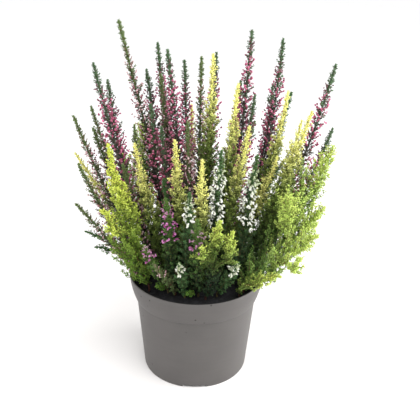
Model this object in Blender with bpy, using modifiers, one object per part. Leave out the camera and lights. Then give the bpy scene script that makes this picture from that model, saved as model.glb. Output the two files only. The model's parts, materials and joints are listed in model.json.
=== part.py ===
"""A potted heather: shoots of eight colours of heather, each standing in a hole of its own in the soil of a
plastic nursery pot. Metres, +Z up, with the origin on the ground at the middle of the pot."""

import math
from collections import namedtuple

import bmesh
import bpy
import numpy as np
from mathutils import Matrix

MM = 0.001
OBJECT_NAME = "potted_heather"

# Clearance between neighbouring pieces
GAP = 0.3 * MM

# Pot
POT_STEPS = 36
WALL = 1.2 * MM
POT_HEIGHT = 101.2 * MM
RIM_RADIUS = 65.0 * MM
LIP_RADIUS = 0.8 * MM
BASE_RADIUS = 52.0 * MM
STEP_HEIGHT, STEP_RISE = 77.0 * MM, 0.6 * MM
BODY_TOP_RADIUS = 58.7 * MM
COLLAR_FOOT_RADIUS = 60.0 * MM
FLOOR_UNDERSIDE = 3.0 * MM
FLOOR_TOP = 4.4 * MM
FOOT_WIDTH = 1.6 * MM
NOTCH_WIDTH, NOTCH_HEIGHT, NOTCH_DEPTH = 23.0 * MM, 2.4 * MM, 5.0 * MM
NOTCHES = 4
DRAIN_HOLES, DRAIN_SIDES, DRAIN_CIRCLE, DRAIN_RADIUS = 6, 8, 36.0 * MM, 4.0 * MM

# Soil
SOIL_TOP = 91.0 * MM
SOIL_EDGE_DROP = 1.5 * MM
SOIL_CROWN = 34 * MM
SOIL_BUMP = 0.7 * MM

# Stems in the soil
STEM_RADIUS = 1.3 * MM
STEM_DEPTH = 9.0 * MM
HOLE_RADIUS, HOLE_OVERSHOOT = STEM_RADIUS + 1.4 * GAP, 5 * MM
STEM_UPRIGHT = 3.0 * MM
ROOT_SPACING = 7.4 * MM
ROOT_CIRCLE = 50.0 * MM

# Where a shoot leaves the soil, as a share of its tip's distance from the middle of the pot: this much for a
# tip at the soil, and less by the second number for one as high as the third
ROOT_SHARE, ROOT_SHARE_LOSS, TALL_SHOOT = 0.60, 0.28, 240 * MM
ROOT_ROUNDS, ROOT_PUSH = 200, 0.3

# Centre lines: how they bow out and up, and where forks leave them
BOW_OUT, BOW_UP = 0.60, 0.44
# How much further up the lines bow, and from which run over rise to which, if they run far out
FLAT_BOW_UP, FLAT_SLOPE = 0.36, (0.4, 1.1)
FORK_AT, FORK_STAGGER, FORK_BARE = 0.42, 0.12, 0.3
LINE_POINTS, FINE_POINTS = 18, 60

# Spreading: how hard shoots push each other and the lip pushes them, and how free a line's points are from
# root to tip
SPREAD_ROUNDS, EVEN_ROUNDS = 90, 3
SHOOT_PUSH, LIP_PUSH = 0.16, 0.5
LIP_CLEARANCE = 1.2 * MM
FREEDOM_HEIGHTS, FREEDOM = (0, 0.25, 0.7, 1), (0, 1, 1, 0.35)
SOIL_CLEARANCE = 2 * SOIL_BUMP
NEAR_SOIL_WIDTH = 1.2

# Surfaces: the turn from ring to ring, how much wider apart the lowest rings are and where that ends, the
# share of a stem's radius left at its tip, the least half width with buds, and that of a full lean
TWIST = math.radians(17)
LOW_STRETCH, LOW_END = 2.2, 0.45
TIP_CORE = 0.55
LEAST_BUD = 1.6 * STEM_RADIUS
FULL_LEAN_WIDTH = 6 * MM

# Each kind of shoot: the sides of its stem, the distance between rings in mm, how many of those distances a
# bud leans forward, the half width in mm at five heights from root to tip, and the solid's colour
Kind = namedtuple("Kind", "sides spacing lean widths colour")
KINDS = {
    "crimson": Kind(6, 7.9, 0.35, (4.0, 5.5, 7.5, 7.0, 3.0), (0.42, 0.07, 0.16)),
    "pale": Kind(6, 8.3, 0.45, (4.0, 5.5, 6.5, 5.5, 2.4), (0.45, 0.30, 0.30)),
    "white": Kind(6, 7.6, 0.30, (4.5, 6.0, 7.5, 7.0, 3.0), (0.75, 0.78, 0.70)),
    "magenta": Kind(6, 7.6, 0.30, (4.5, 6.0, 7.5, 7.0, 3.5), (0.40, 0.10, 0.38)),
    "lime": Kind(4, 6.8, 1.25, (5.0, 9.0, 9.0, 6.0, 2.8), (0.42, 0.52, 0.06)),
    "fern": Kind(4, 6.6, 1.55, (6.0, 10.0, 11.5, 9.5, 4.5), (0.30, 0.46, 0.05)),
    "plume": Kind(4, 7.2, 1.50, (9.0, 13.5, 13.5, 9.0, 4.0), (0.30, 0.46, 0.05)),
    "tuft": Kind(4, 6.6, 1.40, (5.0, 8.0, 8.0, 6.5, 3.5), (0.36, 0.50, 0.05)),
    "green": Kind(4, 7.2, 1.10, (5.0, 7.0, 7.0, 5.0, 2.6), (0.06, 0.16, 0.06)),
    "sprig": Kind(4, 3.2, 0.90, (2.5, 3.5, 3.5, 3.0, 1.5), (0.10, 0.30, 0.05)),
}
WIDTH_HEIGHTS = (0.0, 0.25, 0.5, 0.78, 1.0)

# Every shoot: its name, its kind, and the tips of its main stem and forks, in mm
SHOOTS = (
    ("crimson_far_left", "crimson", (-91, 0, 298), (-83, 22, 280)),
    ("crimson_back_left", "crimson", (-40, 55, 309), (-50, 46, 286)),
    ("crimson_mid_left", "crimson", (-29, 20, 308)),
    ("crimson_behind", "crimson", (-15, 60, 293)),
    ("crimson_heart", "crimson", (-43, 0, 264), (-33, -8, 246)),
    ("crimson_by_yellow", "crimson", (15, 60, 301)),
    ("crimson_tall_right", "crimson", (46, 40, 324), (36, 52, 276)),
    ("crimson_mid_right", "crimson", (50, 20, 270)),
    ("crimson_back_right", "crimson", (76, 50, 316), (66, 62, 272)),
    ("crimson_far_right", "crimson", (120, 18, 299)),
    ("crimson_low_right", "crimson", (121, 30, 238)),
    ("pale_tallest", "pale", (-71, 20, 332)),
    ("pale_outer_left", "pale", (-115, 20, 247)),
    ("pale_left", "pale", (-104, 50, 249), (-97, 16, 237)),
    ("pale_low_left", "pale", (-107, -10, 211)),
    ("pale_lowest_left", "pale", (-110, -16, 175)),
    ("pale_pink_left", "pale", (-67, -14, 213), (-58, 4, 244)),
    ("pale_back", "pale", (-36, 34, 284)),
    ("pale_middle", "pale", (1, 30, 301)),
    ("pale_front", "pale", (-10, -14, 252)),
    ("pale_front_low", "pale", (-38, -52, 134)),
    ("white_middle", "white", (19, -42, 236)),
    ("white_right", "white", (50, -34, 230)),
    ("white_front", "white", (-7, -56, 203)),
    ("white_low_left", "white", (-15, -62, 141)),
    ("white_low_right", "white", (36, -60, 141)),
    ("magenta_left", "magenta", (-27, -54, 197)),
    ("magenta_front", "magenta", (0, -66, 183)),
    ("magenta_low", "magenta", (-46, -52, 152)),
    ("lime_big_left", "plume", (-75, -42, 239), (-80, -60, 188)),
    ("lime_left", "lime", (-55, -24, 235)),
    ("lime_front_left", "lime", (-20, -38, 243)),
    ("lime_tallest", "lime", (11, 0, 308)),
    ("lime_middle", "lime", (32, -18, 287)),
    ("lime_small", "lime", (3, -50, 230)),
    ("lime_front_middle", "lime", (42, -32, 254)),
    ("lime_tall_right", "lime", (77, 0, 278)),
    ("lime_twin_right", "lime", (95, -22, 266), (90, -6, 254)),
    ("lime_outer_right", "fern", (117, -18, 234)),
    ("lime_inner_right", "lime", (70, -12, 222)),
    ("lime_bent_left", "lime", (-121, 46, 203)),
    ("lime_front", "tuft", (18, -80, 189), (29, -77, 178), (4, -82, 166)),
    ("fern_upper_right", "fern", (112, -30, 182), (76, -52, 200)),
    ("fern_right", "fern", (105, -46, 162), (90, -56, 142)),
    ("fern_low_right", "tuft", (77, -54, 130)),
    ("green_low_left", "green", (-110, 20, 131), (-98, 4, 122)),
    ("green_right", "green", (87, 48, 267)),
    ("green_over_rim", "green", (80, -18, 122)),
    ("green_inside_left", "green", (-30, -30, 205)),
    ("lime_back", "lime", (-8, 80, 246), (14, 78, 222)),
    ("lime_back_left", "fern", (-78, 68, 196), (-58, 78, 228)),
    ("pale_back_right", "pale", (40, 78, 262), (56, 72, 232)),
    ("crimson_back_low", "crimson", (-36, 78, 264), (-22, 84, 200)),
    ("green_back", "green", (8, 80, 160), (-36, 76, 150)),
    ("white_back", "white", (58, 72, 182), (86, 56, 196)),
    ("fern_back_right", "fern", (104, 52, 164), (76, 76, 146)),
    ("sprig_left", "sprig", (-36, -45, 108)),
    ("sprig_front", "sprig", (-8, -52, 105)),
)


# Where the stems of shoots leave the soil that stand more upright than the rest, in metres
ROOTS = {"lime_big_left": (-0.045, -0.022)}


def clear_scene():
    """Removes whatever the file opened with."""
    for obj in list(bpy.data.objects):
        bpy.data.objects.remove(obj, do_unlink=True)
    for collection in list(bpy.data.collections):
        bpy.data.collections.remove(collection)


def new_collection(name):
    collection = bpy.data.collections.new(name)
    bpy.context.scene.collection.children.link(collection)
    return collection


def plain_material(name, colour, roughness=0.6):
    """A Principled material of one colour."""
    material = bpy.data.materials.new(name)
    material.use_nodes = True
    shader = material.node_tree.nodes["Principled BSDF"]
    shader.inputs["Base Color"].default_value = (*colour, 1)
    shader.inputs["Roughness"].default_value = roughness
    shader.inputs["Metallic"].default_value = 0
    return material


def mesh_object(name, mesh, collection, material=None):
    obj = bpy.data.objects.new(name, mesh)
    collection.objects.link(obj)
    if material:
        mesh.materials.append(material)
    return obj


def as_cutter(obj):
    """Marks a guide solid, which is not a piece of the plant."""
    obj.hide_render = True
    obj.display_type = "WIRE"
    return obj


def turned(name, profile, collection, material=None):
    """A profile of (radius, height) points, from the inside of the top down the outside, turned about Z."""
    mesh = bpy.data.meshes.new(name)
    mesh.from_pydata([(r, 0, z) for r, z in profile], [(i, i + 1) for i in range(len(profile) - 1)], [])
    obj = mesh_object(name, mesh, collection, material)
    screw = obj.modifiers.new("turn", "SCREW")
    screw.steps = screw.render_steps = POT_STEPS
    screw.use_merge_vertices = True
    screw.merge_threshold = 0.01 * MM
    return obj


def finished_mesh(obj):
    """Replaces an object's mesh by the one that its modifiers give."""
    bpy.context.view_layer.update()
    graph = bpy.context.evaluated_depsgraph_get()
    mesh = bpy.data.meshes.new_from_object(obj.evaluated_get(graph))
    obj.modifiers.clear()
    obj.data = mesh
    return obj


def upright_cylinder(name, radius, bottom, top, sides, centre, collection):
    """A prism whose first corner points along +X, as the stems' do."""
    mesh = bpy.data.meshes.new(name)
    shape = bmesh.new()
    place = Matrix.Translation((centre[0], centre[1], (top + bottom) / 2))
    bmesh.ops.create_cone(
        shape,
        cap_ends=True,
        segments=sides,
        radius1=radius,
        radius2=radius,
        depth=top - bottom,
        matrix=place @ Matrix.Rotation(math.pi / 2, 4, "Z"),
    )
    shape.to_mesh(mesh)
    shape.free()
    return as_cutter(mesh_object(name, mesh, collection))


def cut_by(obj, cutters, name):
    """Cuts a collection of solids out of an object."""
    cut = obj.modifiers.new(name, "BOOLEAN")
    cut.operation = "DIFFERENCE"
    cut.operand_type = "COLLECTION"
    cut.collection = cutters
    cut.solver = "EXACT"


def outer_radius(height):
    """The pot's outer radius: a straight body, a small step, and a collar that swells out to the rim."""
    if height <= STEP_HEIGHT:
        return BASE_RADIUS + (BODY_TOP_RADIUS - BASE_RADIUS) * height / STEP_HEIGHT
    up = (height - STEP_HEIGHT) / (POT_HEIGHT - LIP_RADIUS - STEP_HEIGHT)
    return COLLAR_FOOT_RADIUS + (RIM_RADIUS - COLLAR_FOOT_RADIUS) * math.sin(min(up, 1) * math.pi / 2)


def inner_radius(height):
    """The pot's inner radius. The inside has no step, so it bends a wall's width below the outside's."""
    if height <= STEP_HEIGHT:
        return outer_radius(height) - WALL
    up = (height - STEP_HEIGHT) / (POT_HEIGHT - LIP_RADIUS - STEP_HEIGHT)
    low = BODY_TOP_RADIUS - WALL
    return low + (RIM_RADIUS - WALL - low) * math.sin(min(up, 1) * math.pi / 2)


COLLAR_HEIGHTS = [STEP_HEIGHT + share * (POT_HEIGHT - LIP_RADIUS - STEP_HEIGHT) for share in (0.3, 0.6, 1.0)]


def build_pot(parts, cutters):
    """A thin moulded pot with a rounded lip, a collar, four notches in its foot and drain holes."""
    lip_middle = RIM_RADIUS - WALL / 2
    lip = [
        (lip_middle - LIP_RADIUS * math.cos(turn), POT_HEIGHT - LIP_RADIUS + LIP_RADIUS * math.sin(turn))
        for turn in (0.0, math.pi / 3, 2 * math.pi / 3, math.pi)
    ]
    profile = [(0, FLOOR_TOP), (inner_radius(FLOOR_TOP), FLOOR_TOP), (inner_radius(STEP_HEIGHT), STEP_HEIGHT)]
    profile += [(inner_radius(z), z) for z in COLLAR_HEIGHTS[:-1]]
    profile += lip
    profile += [(outer_radius(z), z) for z in reversed(COLLAR_HEIGHTS[:-1])]
    profile += [
        (COLLAR_FOOT_RADIUS, STEP_HEIGHT + STEP_RISE),
        (BODY_TOP_RADIUS, STEP_HEIGHT),
        (BASE_RADIUS, 0),
        (BASE_RADIUS - FOOT_WIDTH, 0),
        (BASE_RADIUS - FOOT_WIDTH, FLOOR_UNDERSIDE),
        (0, FLOOR_UNDERSIDE),
    ]
    pot = turned("pot", profile, parts, plain_material("pot_plastic", (0.16, 0.15, 0.14), 0.5))
    for index in range(DRAIN_HOLES):
        angle = 2 * math.pi * (index + 0.5) / DRAIN_HOLES
        centre = (DRAIN_CIRCLE * math.cos(angle), DRAIN_CIRCLE * math.sin(angle))
        upright_cylinder(f"drain_{index}", DRAIN_RADIUS, -MM, FLOOR_TOP + MM, DRAIN_SIDES, centre, cutters)
    for index in range(NOTCHES):
        angle = -math.pi / 2 + 2 * math.pi * index / NOTCHES
        bpy.ops.mesh.primitive_cube_add(size=1, location=(0, 0, 0))
        notch = bpy.context.object
        notch.name = f"notch_{index}"
        for user in list(notch.users_collection):
            user.objects.unlink(notch)
        cutters.objects.link(notch)
        notch.scale = (2 * NOTCH_DEPTH, NOTCH_WIDTH, 2 * NOTCH_HEIGHT)
        notch.location = (BASE_RADIUS * math.cos(angle), BASE_RADIUS * math.sin(angle), 0)
        notch.rotation_euler = (0, 0, angle)
        as_cutter(notch)
    cut_by(pot, cutters, "drains_and_notches")


def build_soil(parts, holes):
    """Soil that fills the pot to a centimetre below the rim, with low waves and a hole for each stem."""
    edge = SOIL_TOP - SOIL_EDGE_DROP
    profile = [
        (0, SOIL_TOP),
        (SOIL_CROWN, SOIL_TOP),
        (inner_radius(edge) - GAP, edge),
        (inner_radius(COLLAR_HEIGHTS[0]) - GAP, COLLAR_HEIGHTS[0]),
        (inner_radius(STEP_HEIGHT) - GAP, STEP_HEIGHT),
        (inner_radius(FLOOR_TOP + GAP) - GAP, FLOOR_TOP + GAP),
        (0, FLOOR_TOP + GAP),
    ]
    soil = finished_mesh(turned("soil", profile, parts, plain_material("soil", (0.012, 0.011, 0.012), 0.95)))
    for vertex in soil.data.vertices:
        x, y, z = vertex.co
        if z > SOIL_TOP - MM:
            vertex.co.z += SOIL_BUMP * (math.sin(150 * x + 1) * math.cos(130 * y) + 0.6 * math.sin(290 * y))
    cut_by(soil, holes, "stem_holes")


def root_of(tip):
    """Where a shoot leaves the soil: nearer the middle of the pot than its tip, and more so if it is tall."""
    x, y, z = tip
    share = ROOT_SHARE - ROOT_SHARE_LOSS * (z * MM - SOIL_TOP) / TALL_SHOOT
    root = np.array([x, y]) * MM * share
    return root * min(1, ROOT_CIRCLE / max(np.linalg.norm(root), MM))


def spaced_roots(roots):
    """Moves roots apart until none stands nearer to another than the spacing."""
    roots = np.array(roots)
    for _ in range(ROOT_ROUNDS):
        delta = roots[:, None] - roots[None]
        distance = np.linalg.norm(delta, axis=2) + np.eye(len(roots))
        short = np.clip(ROOT_SPACING - distance, 0, None) * (1 - np.eye(len(roots)))
        roots = roots + ROOT_PUSH * (delta / distance[..., None] * short[..., None]).sum(axis=1)
        radius = np.linalg.norm(roots, axis=1, keepdims=True)
        roots = roots * np.minimum(1, ROOT_CIRCLE / np.maximum(radius, MM))
    return roots


def bowed_line(start, tip, count):
    """A quadratic curve from start to tip that first leans out and then turns up. One that runs out further
    than it rises goes up more steeply first."""
    start, tip = np.asarray(start, float), np.asarray(tip, float)
    way = tip - start
    flatness = np.interp(np.hypot(way[0], way[1]) / max(way[2], MM), FLAT_SLOPE, (0, 1))
    control = start + way * (BOW_OUT, BOW_OUT, BOW_UP + FLAT_BOW_UP * flatness)
    t = np.linspace(0, 1, count)[:, None]
    return (1 - t) ** 2 * start + 2 * t * (1 - t) * control + t**2 * tip


def wanted_widths(kind, count):
    """The half width that a shoot of a kind would have with nothing beside it."""
    return np.interp(np.linspace(0, 1, count), WIDTH_HEIGHTS, KINDS[kind].widths) * MM


def fork_point(line, order):
    """Where a shoot's forks leave it, the second one above the first."""
    return line[round((FORK_AT + FORK_STAGGER * order) * (len(line) - 1))]


class Shoot:
    """One stem of the plant: a main stem or a fork, with its centre line and half widths."""

    def __init__(self, name, kind, start, tip, parent=None, order=0):
        self.name, self.kind, self.parent, self.order = name, kind, parent, order
        self.line = bowed_line(start, tip, LINE_POINTS)
        self.widths = wanted_widths(kind, LINE_POINTS)
        if parent:
            self.widths[: round(FORK_BARE * LINE_POINTS)] = STEM_RADIUS


def all_shoots():
    """The stems and forks of the table, from their roots."""
    above = SOIL_TOP + STEM_UPRIGHT
    roots = spaced_roots([ROOTS.get(row[0]) or root_of(row[2]) for row in SHOOTS])
    shoots = []
    for (name, kind, tip, *forks), root in zip(SHOOTS, roots):
        main = Shoot(name, kind, (*root, above), np.array(tip) * MM)
        shoots.append(main)
        for order, fork in enumerate(forks):
            shoots.append(Shoot(name, kind, fork_point(main.line, order), np.array(fork) * MM, main, order))
    return shoots


def smoothed(rows):
    """Evens out the values along each row, apart from its two ends."""
    for _ in range(EVEN_ROUNDS):
        rows[:, 1:-1] = (rows[:, :-2] + 2 * rows[:, 1:-1] + rows[:, 2:]) / 4
    return rows


def room_to_lip(points):
    """How far points lie from the pot's lip, or below it from its inner wall, and the way away from it."""
    around = np.linalg.norm(points[:, :2], axis=1)
    across = around - (RIM_RADIUS - WALL / 2)
    up = np.maximum(points[:, 2] - (POT_HEIGHT - LIP_RADIUS), 0)
    distance = np.hypot(across, up)
    outward = points[:, :2] / around[:, None]
    away = np.column_stack([outward * (across / distance)[:, None], up / distance])
    return distance - LIP_RADIUS - LIP_CLEARANCE, away


def spread_shoots(shoots):
    """Bends the lines of different shoots apart where they stand closer than their half widths, and keeps
    their roots in place."""
    lines = np.array([shoot.line for shoot in shoots])
    reach = np.array([shoot.widths for shoot in shoots]).ravel()
    names = np.repeat([shoot.name for shoot in shoots], LINE_POINTS)
    above_fork = np.tile(np.arange(LINE_POINTS) > FORK_BARE * LINE_POINTS, len(shoots))
    stem = np.repeat(np.arange(len(shoots)), LINE_POINTS)
    same_stem = stem[:, None] == stem[None]
    apart = (names[:, None] != names[None]) | (above_fork[:, None] & above_fork[None] & ~same_stem)
    freedom = np.interp(np.linspace(0, 1, LINE_POINTS), FREEDOM_HEIGHTS, FREEDOM)[None, :, None]
    for _ in range(SPREAD_ROUNDS):
        points = lines.reshape(-1, 3)
        squares = (points**2).sum(axis=1)
        distance = np.sqrt(np.maximum(squares[:, None] + squares[None] - 2 * points @ points.T, 1e-12))
        strength = np.clip(reach[:, None] + reach[None] - distance, 0, None) * apart / distance
        push = (strength.sum(axis=1)[:, None] * points - strength @ points) * SHOOT_PUSH
        to_lip, away = room_to_lip(points)
        push += away * np.clip(reach - to_lip, 0, None)[:, None] * LIP_PUSH
        lines = lines + smoothed(push.reshape(lines.shape) * freedom)
        for index, shoot in enumerate(shoots):
            if shoot.parent:
                anchor = fork_point(lines[shoots.index(shoot.parent)], shoot.order)
                lines[index] += (anchor - lines[index, 0]) * np.linspace(1, 0, LINE_POINTS)[:, None]
    for shoot, line in zip(shoots, lines):
        shoot.line = line


def fine_line(line):
    """A line through more points, with its corners evened out."""
    old, new = np.linspace(0, 1, len(line)), np.linspace(0, 1, FINE_POINTS)
    return smoothed(np.array([np.interp(new, old, column) for column in line.T]).T[None])[0]


def measure_room(shoots):
    """Narrows each shoot to its share of the room up to its nearest neighbours."""
    old, new = np.linspace(0, 1, LINE_POINTS), np.linspace(0, 1, FINE_POINTS)
    fine = [fine_line(shoot.line) for shoot in shoots]
    wanted = [np.interp(new, old, shoot.widths) for shoot in shoots]
    for shoot, line, width in zip(shoots, fine, wanted):
        room = np.minimum(width, room_to_lip(line)[0])
        room = np.minimum(room, (line[:, 2] - SOIL_TOP - SOIL_CLEARANCE) * NEAR_SOIL_WIDTH)
        for other, other_line, other_width in zip(shoots, fine, wanted):
            if other.name != shoot.name:
                distance = np.linalg.norm(line[:, None] - other_line[None], axis=2)
                share = width[:, None] / (width[:, None] + other_width[None])
                room = np.minimum(room, (distance * share).min(axis=1) - GAP)
        lowest = np.minimum(np.minimum(np.roll(room, 1), np.roll(room, -1)), room)
        lowest[0], lowest[-1] = room[0], room[-1]
        shoot.fine, shoot.room = line, np.maximum(lowest, STEM_RADIUS)


def frames_along(points):
    """Unit vectors across and along a line, carried from point to point without twist."""
    along = np.gradient(points, axis=0)
    along /= np.linalg.norm(along, axis=1, keepdims=True)
    first = [np.cross((0, 1, 0), along[0])]
    first[0] /= np.linalg.norm(first[0])
    for direction in along[1:]:
        side = first[-1] - direction * (first[-1] @ direction)
        first.append(side / np.linalg.norm(side))
    first = np.array(first)
    return first, np.cross(along, first), along


def ring_places(length, spacing, is_fork):
    """How far along a shoot its rings stand: close together above, wider apart low in the bush."""
    share = np.linspace(0, 1, FINE_POINTS)
    stretch = np.interp(share, (0, LOW_END), (1.0 if is_fork else LOW_STRETCH, 1.0))
    passed = np.concatenate([[0], np.cumsum(1 / stretch[1:])]) * length / len(share) / spacing
    rings = max(5, round(passed[-1]))
    return np.interp(np.arange(rings) * passed[-1] / rings, passed, share) * length


def shoot_mesh(shoot):
    """One closed surface round the centre line: a bare stem below, and above it rings on which every other
    point is raised into a pointed bud that leans towards the tip."""
    sides, spacing, lean = KINDS[shoot.kind][:3]
    lengths = np.concatenate([[0], np.cumsum(np.linalg.norm(np.diff(shoot.fine, axis=0), axis=1))])
    at = ring_places(lengths[-1], spacing * MM, bool(shoot.parent))
    rings = len(at)
    centre = np.array([np.interp(at, lengths, column) for column in shoot.fine.T]).T
    width = np.interp(at, lengths, shoot.room)
    core = np.interp(at, (0, lengths[-1]), (1.0, TIP_CORE)) * STEM_RADIUS
    level = np.arange(rings)
    if not shoot.parent:
        foot = [centre[0] - (0, 0, STEM_UPRIGHT + STEM_DEPTH), centre[0] - (0, 0, STEM_UPRIGHT / 2)]
        centre = np.vstack([*foot, centre])
        width = np.concatenate([[0, 0], width])
        core = np.concatenate([[STEM_RADIUS] * 2, core])
        level = np.concatenate([[0, 0], level])
        rings += 2
    across, up, along = frames_along(np.vstack([centre, shoot.fine[-1]]))
    angle = 2 * np.pi * np.arange(sides)[None] / sides + level[:, None] * TWIST
    every_other = (np.arange(sides)[None] + np.arange(rings)[:, None]) % 2 == 0
    raised = every_other & (width > LEAST_BUD)[:, None]
    raised[-1] = False
    radius = np.where(raised, width[:, None], core[:, None])
    lift = np.where(raised, lean * spacing * MM * np.minimum(1, width / FULL_LEAN_WIDTH)[:, None], 0)
    outward = np.cos(angle)[..., None] * across[:-1, None] + np.sin(angle)[..., None] * up[:-1, None]
    points = centre[:, None] + outward * radius[..., None] + along[:-1, None] * lift[..., None]
    return ring_surface(points, centre[0], shoot.fine[-1])


def ring_surface(points, bottom, top):
    """Joins rings of points by triangles, split so that each raised point stands as a pyramid, and closes
    both ends."""
    rings, sides, _ = points.shape
    vertices = np.vstack([points.reshape(-1, 3), [bottom], [top]])
    number = np.arange(rings * sides).reshape(rings, sides)
    faces = []
    for low in range(rings - 1):
        for side in range(sides):
            a, b = number[low, side], number[low, (side + 1) % sides]
            c, d = number[low + 1, (side + 1) % sides], number[low + 1, side]
            raised_here = (low + side) % 2 == 0
            faces += [(a, b, d), (b, c, d)] if raised_here else [(a, b, c), (a, c, d)]
    for side in range(sides):
        following = (side + 1) % sides
        faces.append((number[0, following], number[0, side], rings * sides))
        faces.append((number[-1, side], number[-1, following], rings * sides + 1))
    return vertices, faces


def keep_one_body(mesh):
    """Fills the hollows and drops the scraps that a union leaves: only the body with the most faces stays."""
    shape = bmesh.new()
    shape.from_mesh(mesh)
    left, bodies = set(shape.faces), []
    while left:
        body, edge_of_body = set(), [left.pop()]
        while edge_of_body:
            face = edge_of_body.pop()
            body.add(face)
            beside = {near for edge in face.edges for near in edge.link_faces} & left
            left -= beside
            edge_of_body += beside
        bodies.append(body)
    bodies.sort(key=len)
    for body in bodies[:-1]:
        bmesh.ops.delete(shape, geom=list(body), context="FACES")
    loose = [vertex for vertex in shape.verts if not vertex.link_faces]
    bmesh.ops.delete(shape, geom=loose, context="VERTS")
    shape.to_mesh(mesh)
    shape.free()


def joined_by_union(name, pieces, parts, material):
    """Joins a shoot's stem and forks into one solid."""
    extra = bpy.data.collections.new(f"{name}_forks")
    for index, (vertices, faces) in enumerate(pieces[1:]):
        mesh = bpy.data.meshes.new(f"{name}_fork_{index}")
        mesh.from_pydata(vertices, [], faces)
        extra.objects.link(bpy.data.objects.new(mesh.name, mesh))
    mesh = bpy.data.meshes.new(name)
    mesh.from_pydata(pieces[0][0], [], pieces[0][1])
    shoot = mesh_object(name, mesh, parts, material)
    if len(pieces) > 1:
        union = shoot.modifiers.new("forks", "BOOLEAN")
        union.operation = "UNION"
        union.operand_type = "COLLECTION"
        union.collection = extra
        union.solver = "EXACT"
        keep_one_body(finished_mesh(shoot).data)
    for obj in list(extra.objects):
        bpy.data.objects.remove(obj, do_unlink=True)
    bpy.data.collections.remove(extra)


def build_shoots(parts, holes):
    """Every shoot as one solid, and the hole that its stem stands in."""
    shoots = all_shoots()
    spread_shoots(shoots)
    measure_room(shoots)
    materials = {kind: plain_material(f"{kind}_heather", row.colour) for kind, row in KINDS.items()}
    for name, kind, *_ in SHOOTS:
        family = [shoot for shoot in shoots if shoot.name == name]
        joined_by_union(name, [shoot_mesh(shoot) for shoot in family], parts, materials[kind])
        bottom, top = SOIL_TOP - STEM_DEPTH - GAP, SOIL_TOP + HOLE_OVERSHOOT
        root, sides = family[0].line[0], KINDS[kind].sides
        upright_cylinder(f"hole_{name}", HOLE_RADIUS, bottom, top, sides, root, holes)


def main():
    clear_scene()
    parts = new_collection(OBJECT_NAME)
    pot_cutters = new_collection("pot_cutters")
    stem_holes = new_collection("stem_hole_cutters")
    build_pot(parts, pot_cutters)
    build_shoots(parts, stem_holes)
    build_soil(parts, stem_holes)


main()
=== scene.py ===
"""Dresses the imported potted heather: every shoot gets its twigs, scale leaves and buds, the soil its crumbs
and the pot its moulded plastic, on a pale floor in soft light."""

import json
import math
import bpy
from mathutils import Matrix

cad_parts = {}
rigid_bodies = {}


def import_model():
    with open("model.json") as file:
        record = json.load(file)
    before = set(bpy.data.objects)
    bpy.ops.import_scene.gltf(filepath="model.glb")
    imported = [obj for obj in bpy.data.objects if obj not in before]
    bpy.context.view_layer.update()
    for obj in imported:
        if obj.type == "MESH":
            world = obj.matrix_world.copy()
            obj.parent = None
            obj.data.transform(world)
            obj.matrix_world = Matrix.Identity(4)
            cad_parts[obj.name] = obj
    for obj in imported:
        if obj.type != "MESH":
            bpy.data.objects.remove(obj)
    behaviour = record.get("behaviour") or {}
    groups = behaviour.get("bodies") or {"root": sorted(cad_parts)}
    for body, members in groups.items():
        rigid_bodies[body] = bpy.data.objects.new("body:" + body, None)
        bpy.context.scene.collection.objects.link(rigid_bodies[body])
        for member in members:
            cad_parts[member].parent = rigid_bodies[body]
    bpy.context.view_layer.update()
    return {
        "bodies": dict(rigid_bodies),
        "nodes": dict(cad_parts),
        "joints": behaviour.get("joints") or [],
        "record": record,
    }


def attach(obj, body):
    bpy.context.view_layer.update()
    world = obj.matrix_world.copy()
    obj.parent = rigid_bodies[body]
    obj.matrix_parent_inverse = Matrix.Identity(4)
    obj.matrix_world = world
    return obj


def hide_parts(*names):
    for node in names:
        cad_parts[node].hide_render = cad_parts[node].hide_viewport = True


bl_info = {
    "name": "Potted heather",
    "version": (1, 0, 0),
    "blender": (4, 5, 0),
    "location": "View3D > Sidebar > Heather",
    "description": "Grows a pot of mixed heather round its packed model",
    "category": "Object",
}

from collections import namedtuple

import bpy
import numpy as np
from bpy.props import EnumProperty, FloatProperty, FloatVectorProperty, IntProperty, PointerProperty
from mathutils import Matrix, Vector

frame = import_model()

MM = 0.001
GAP = 0.3 * MM

# The pot, as packed
WALL = 1.2 * MM
POT_HEIGHT = 101.2 * MM
RIM_RADIUS = 65.0 * MM
LIP_RADIUS = 0.8 * MM
BASE_RADIUS = 52.0 * MM
STEP_HEIGHT, STEP_RISE = 77.0 * MM, 0.6 * MM
BODY_TOP_RADIUS = 58.7 * MM
COLLAR_FOOT_RADIUS = 60.0 * MM
FLOOR_UNDERSIDE, FLOOR_TOP = 3.0 * MM, 4.4 * MM
FOOT_WIDTH = 1.6 * MM
NOTCHES, NOTCH_WIDTH, NOTCH_HEIGHT, NOTCH_DEPTH = 4, 23.0 * MM, 2.4 * MM, 5.0 * MM
DRAIN_HOLES, DRAIN_CIRCLE, DRAIN_RADIUS = 6, 36.0 * MM, 4.0 * MM

# The soil and the stems in it, as packed
SOIL_TOP, SOIL_EDGE_DROP, SOIL_BUMP = 91.0 * MM, 1.5 * MM, 0.7 * MM
STEM_RADIUS, STEM_DEPTH, STEM_UPRIGHT = 1.3 * MM, 9.0 * MM, 3.0 * MM
ROOT_SPACING, ROOT_CIRCLE = 7.4 * MM, 50.0 * MM

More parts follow.
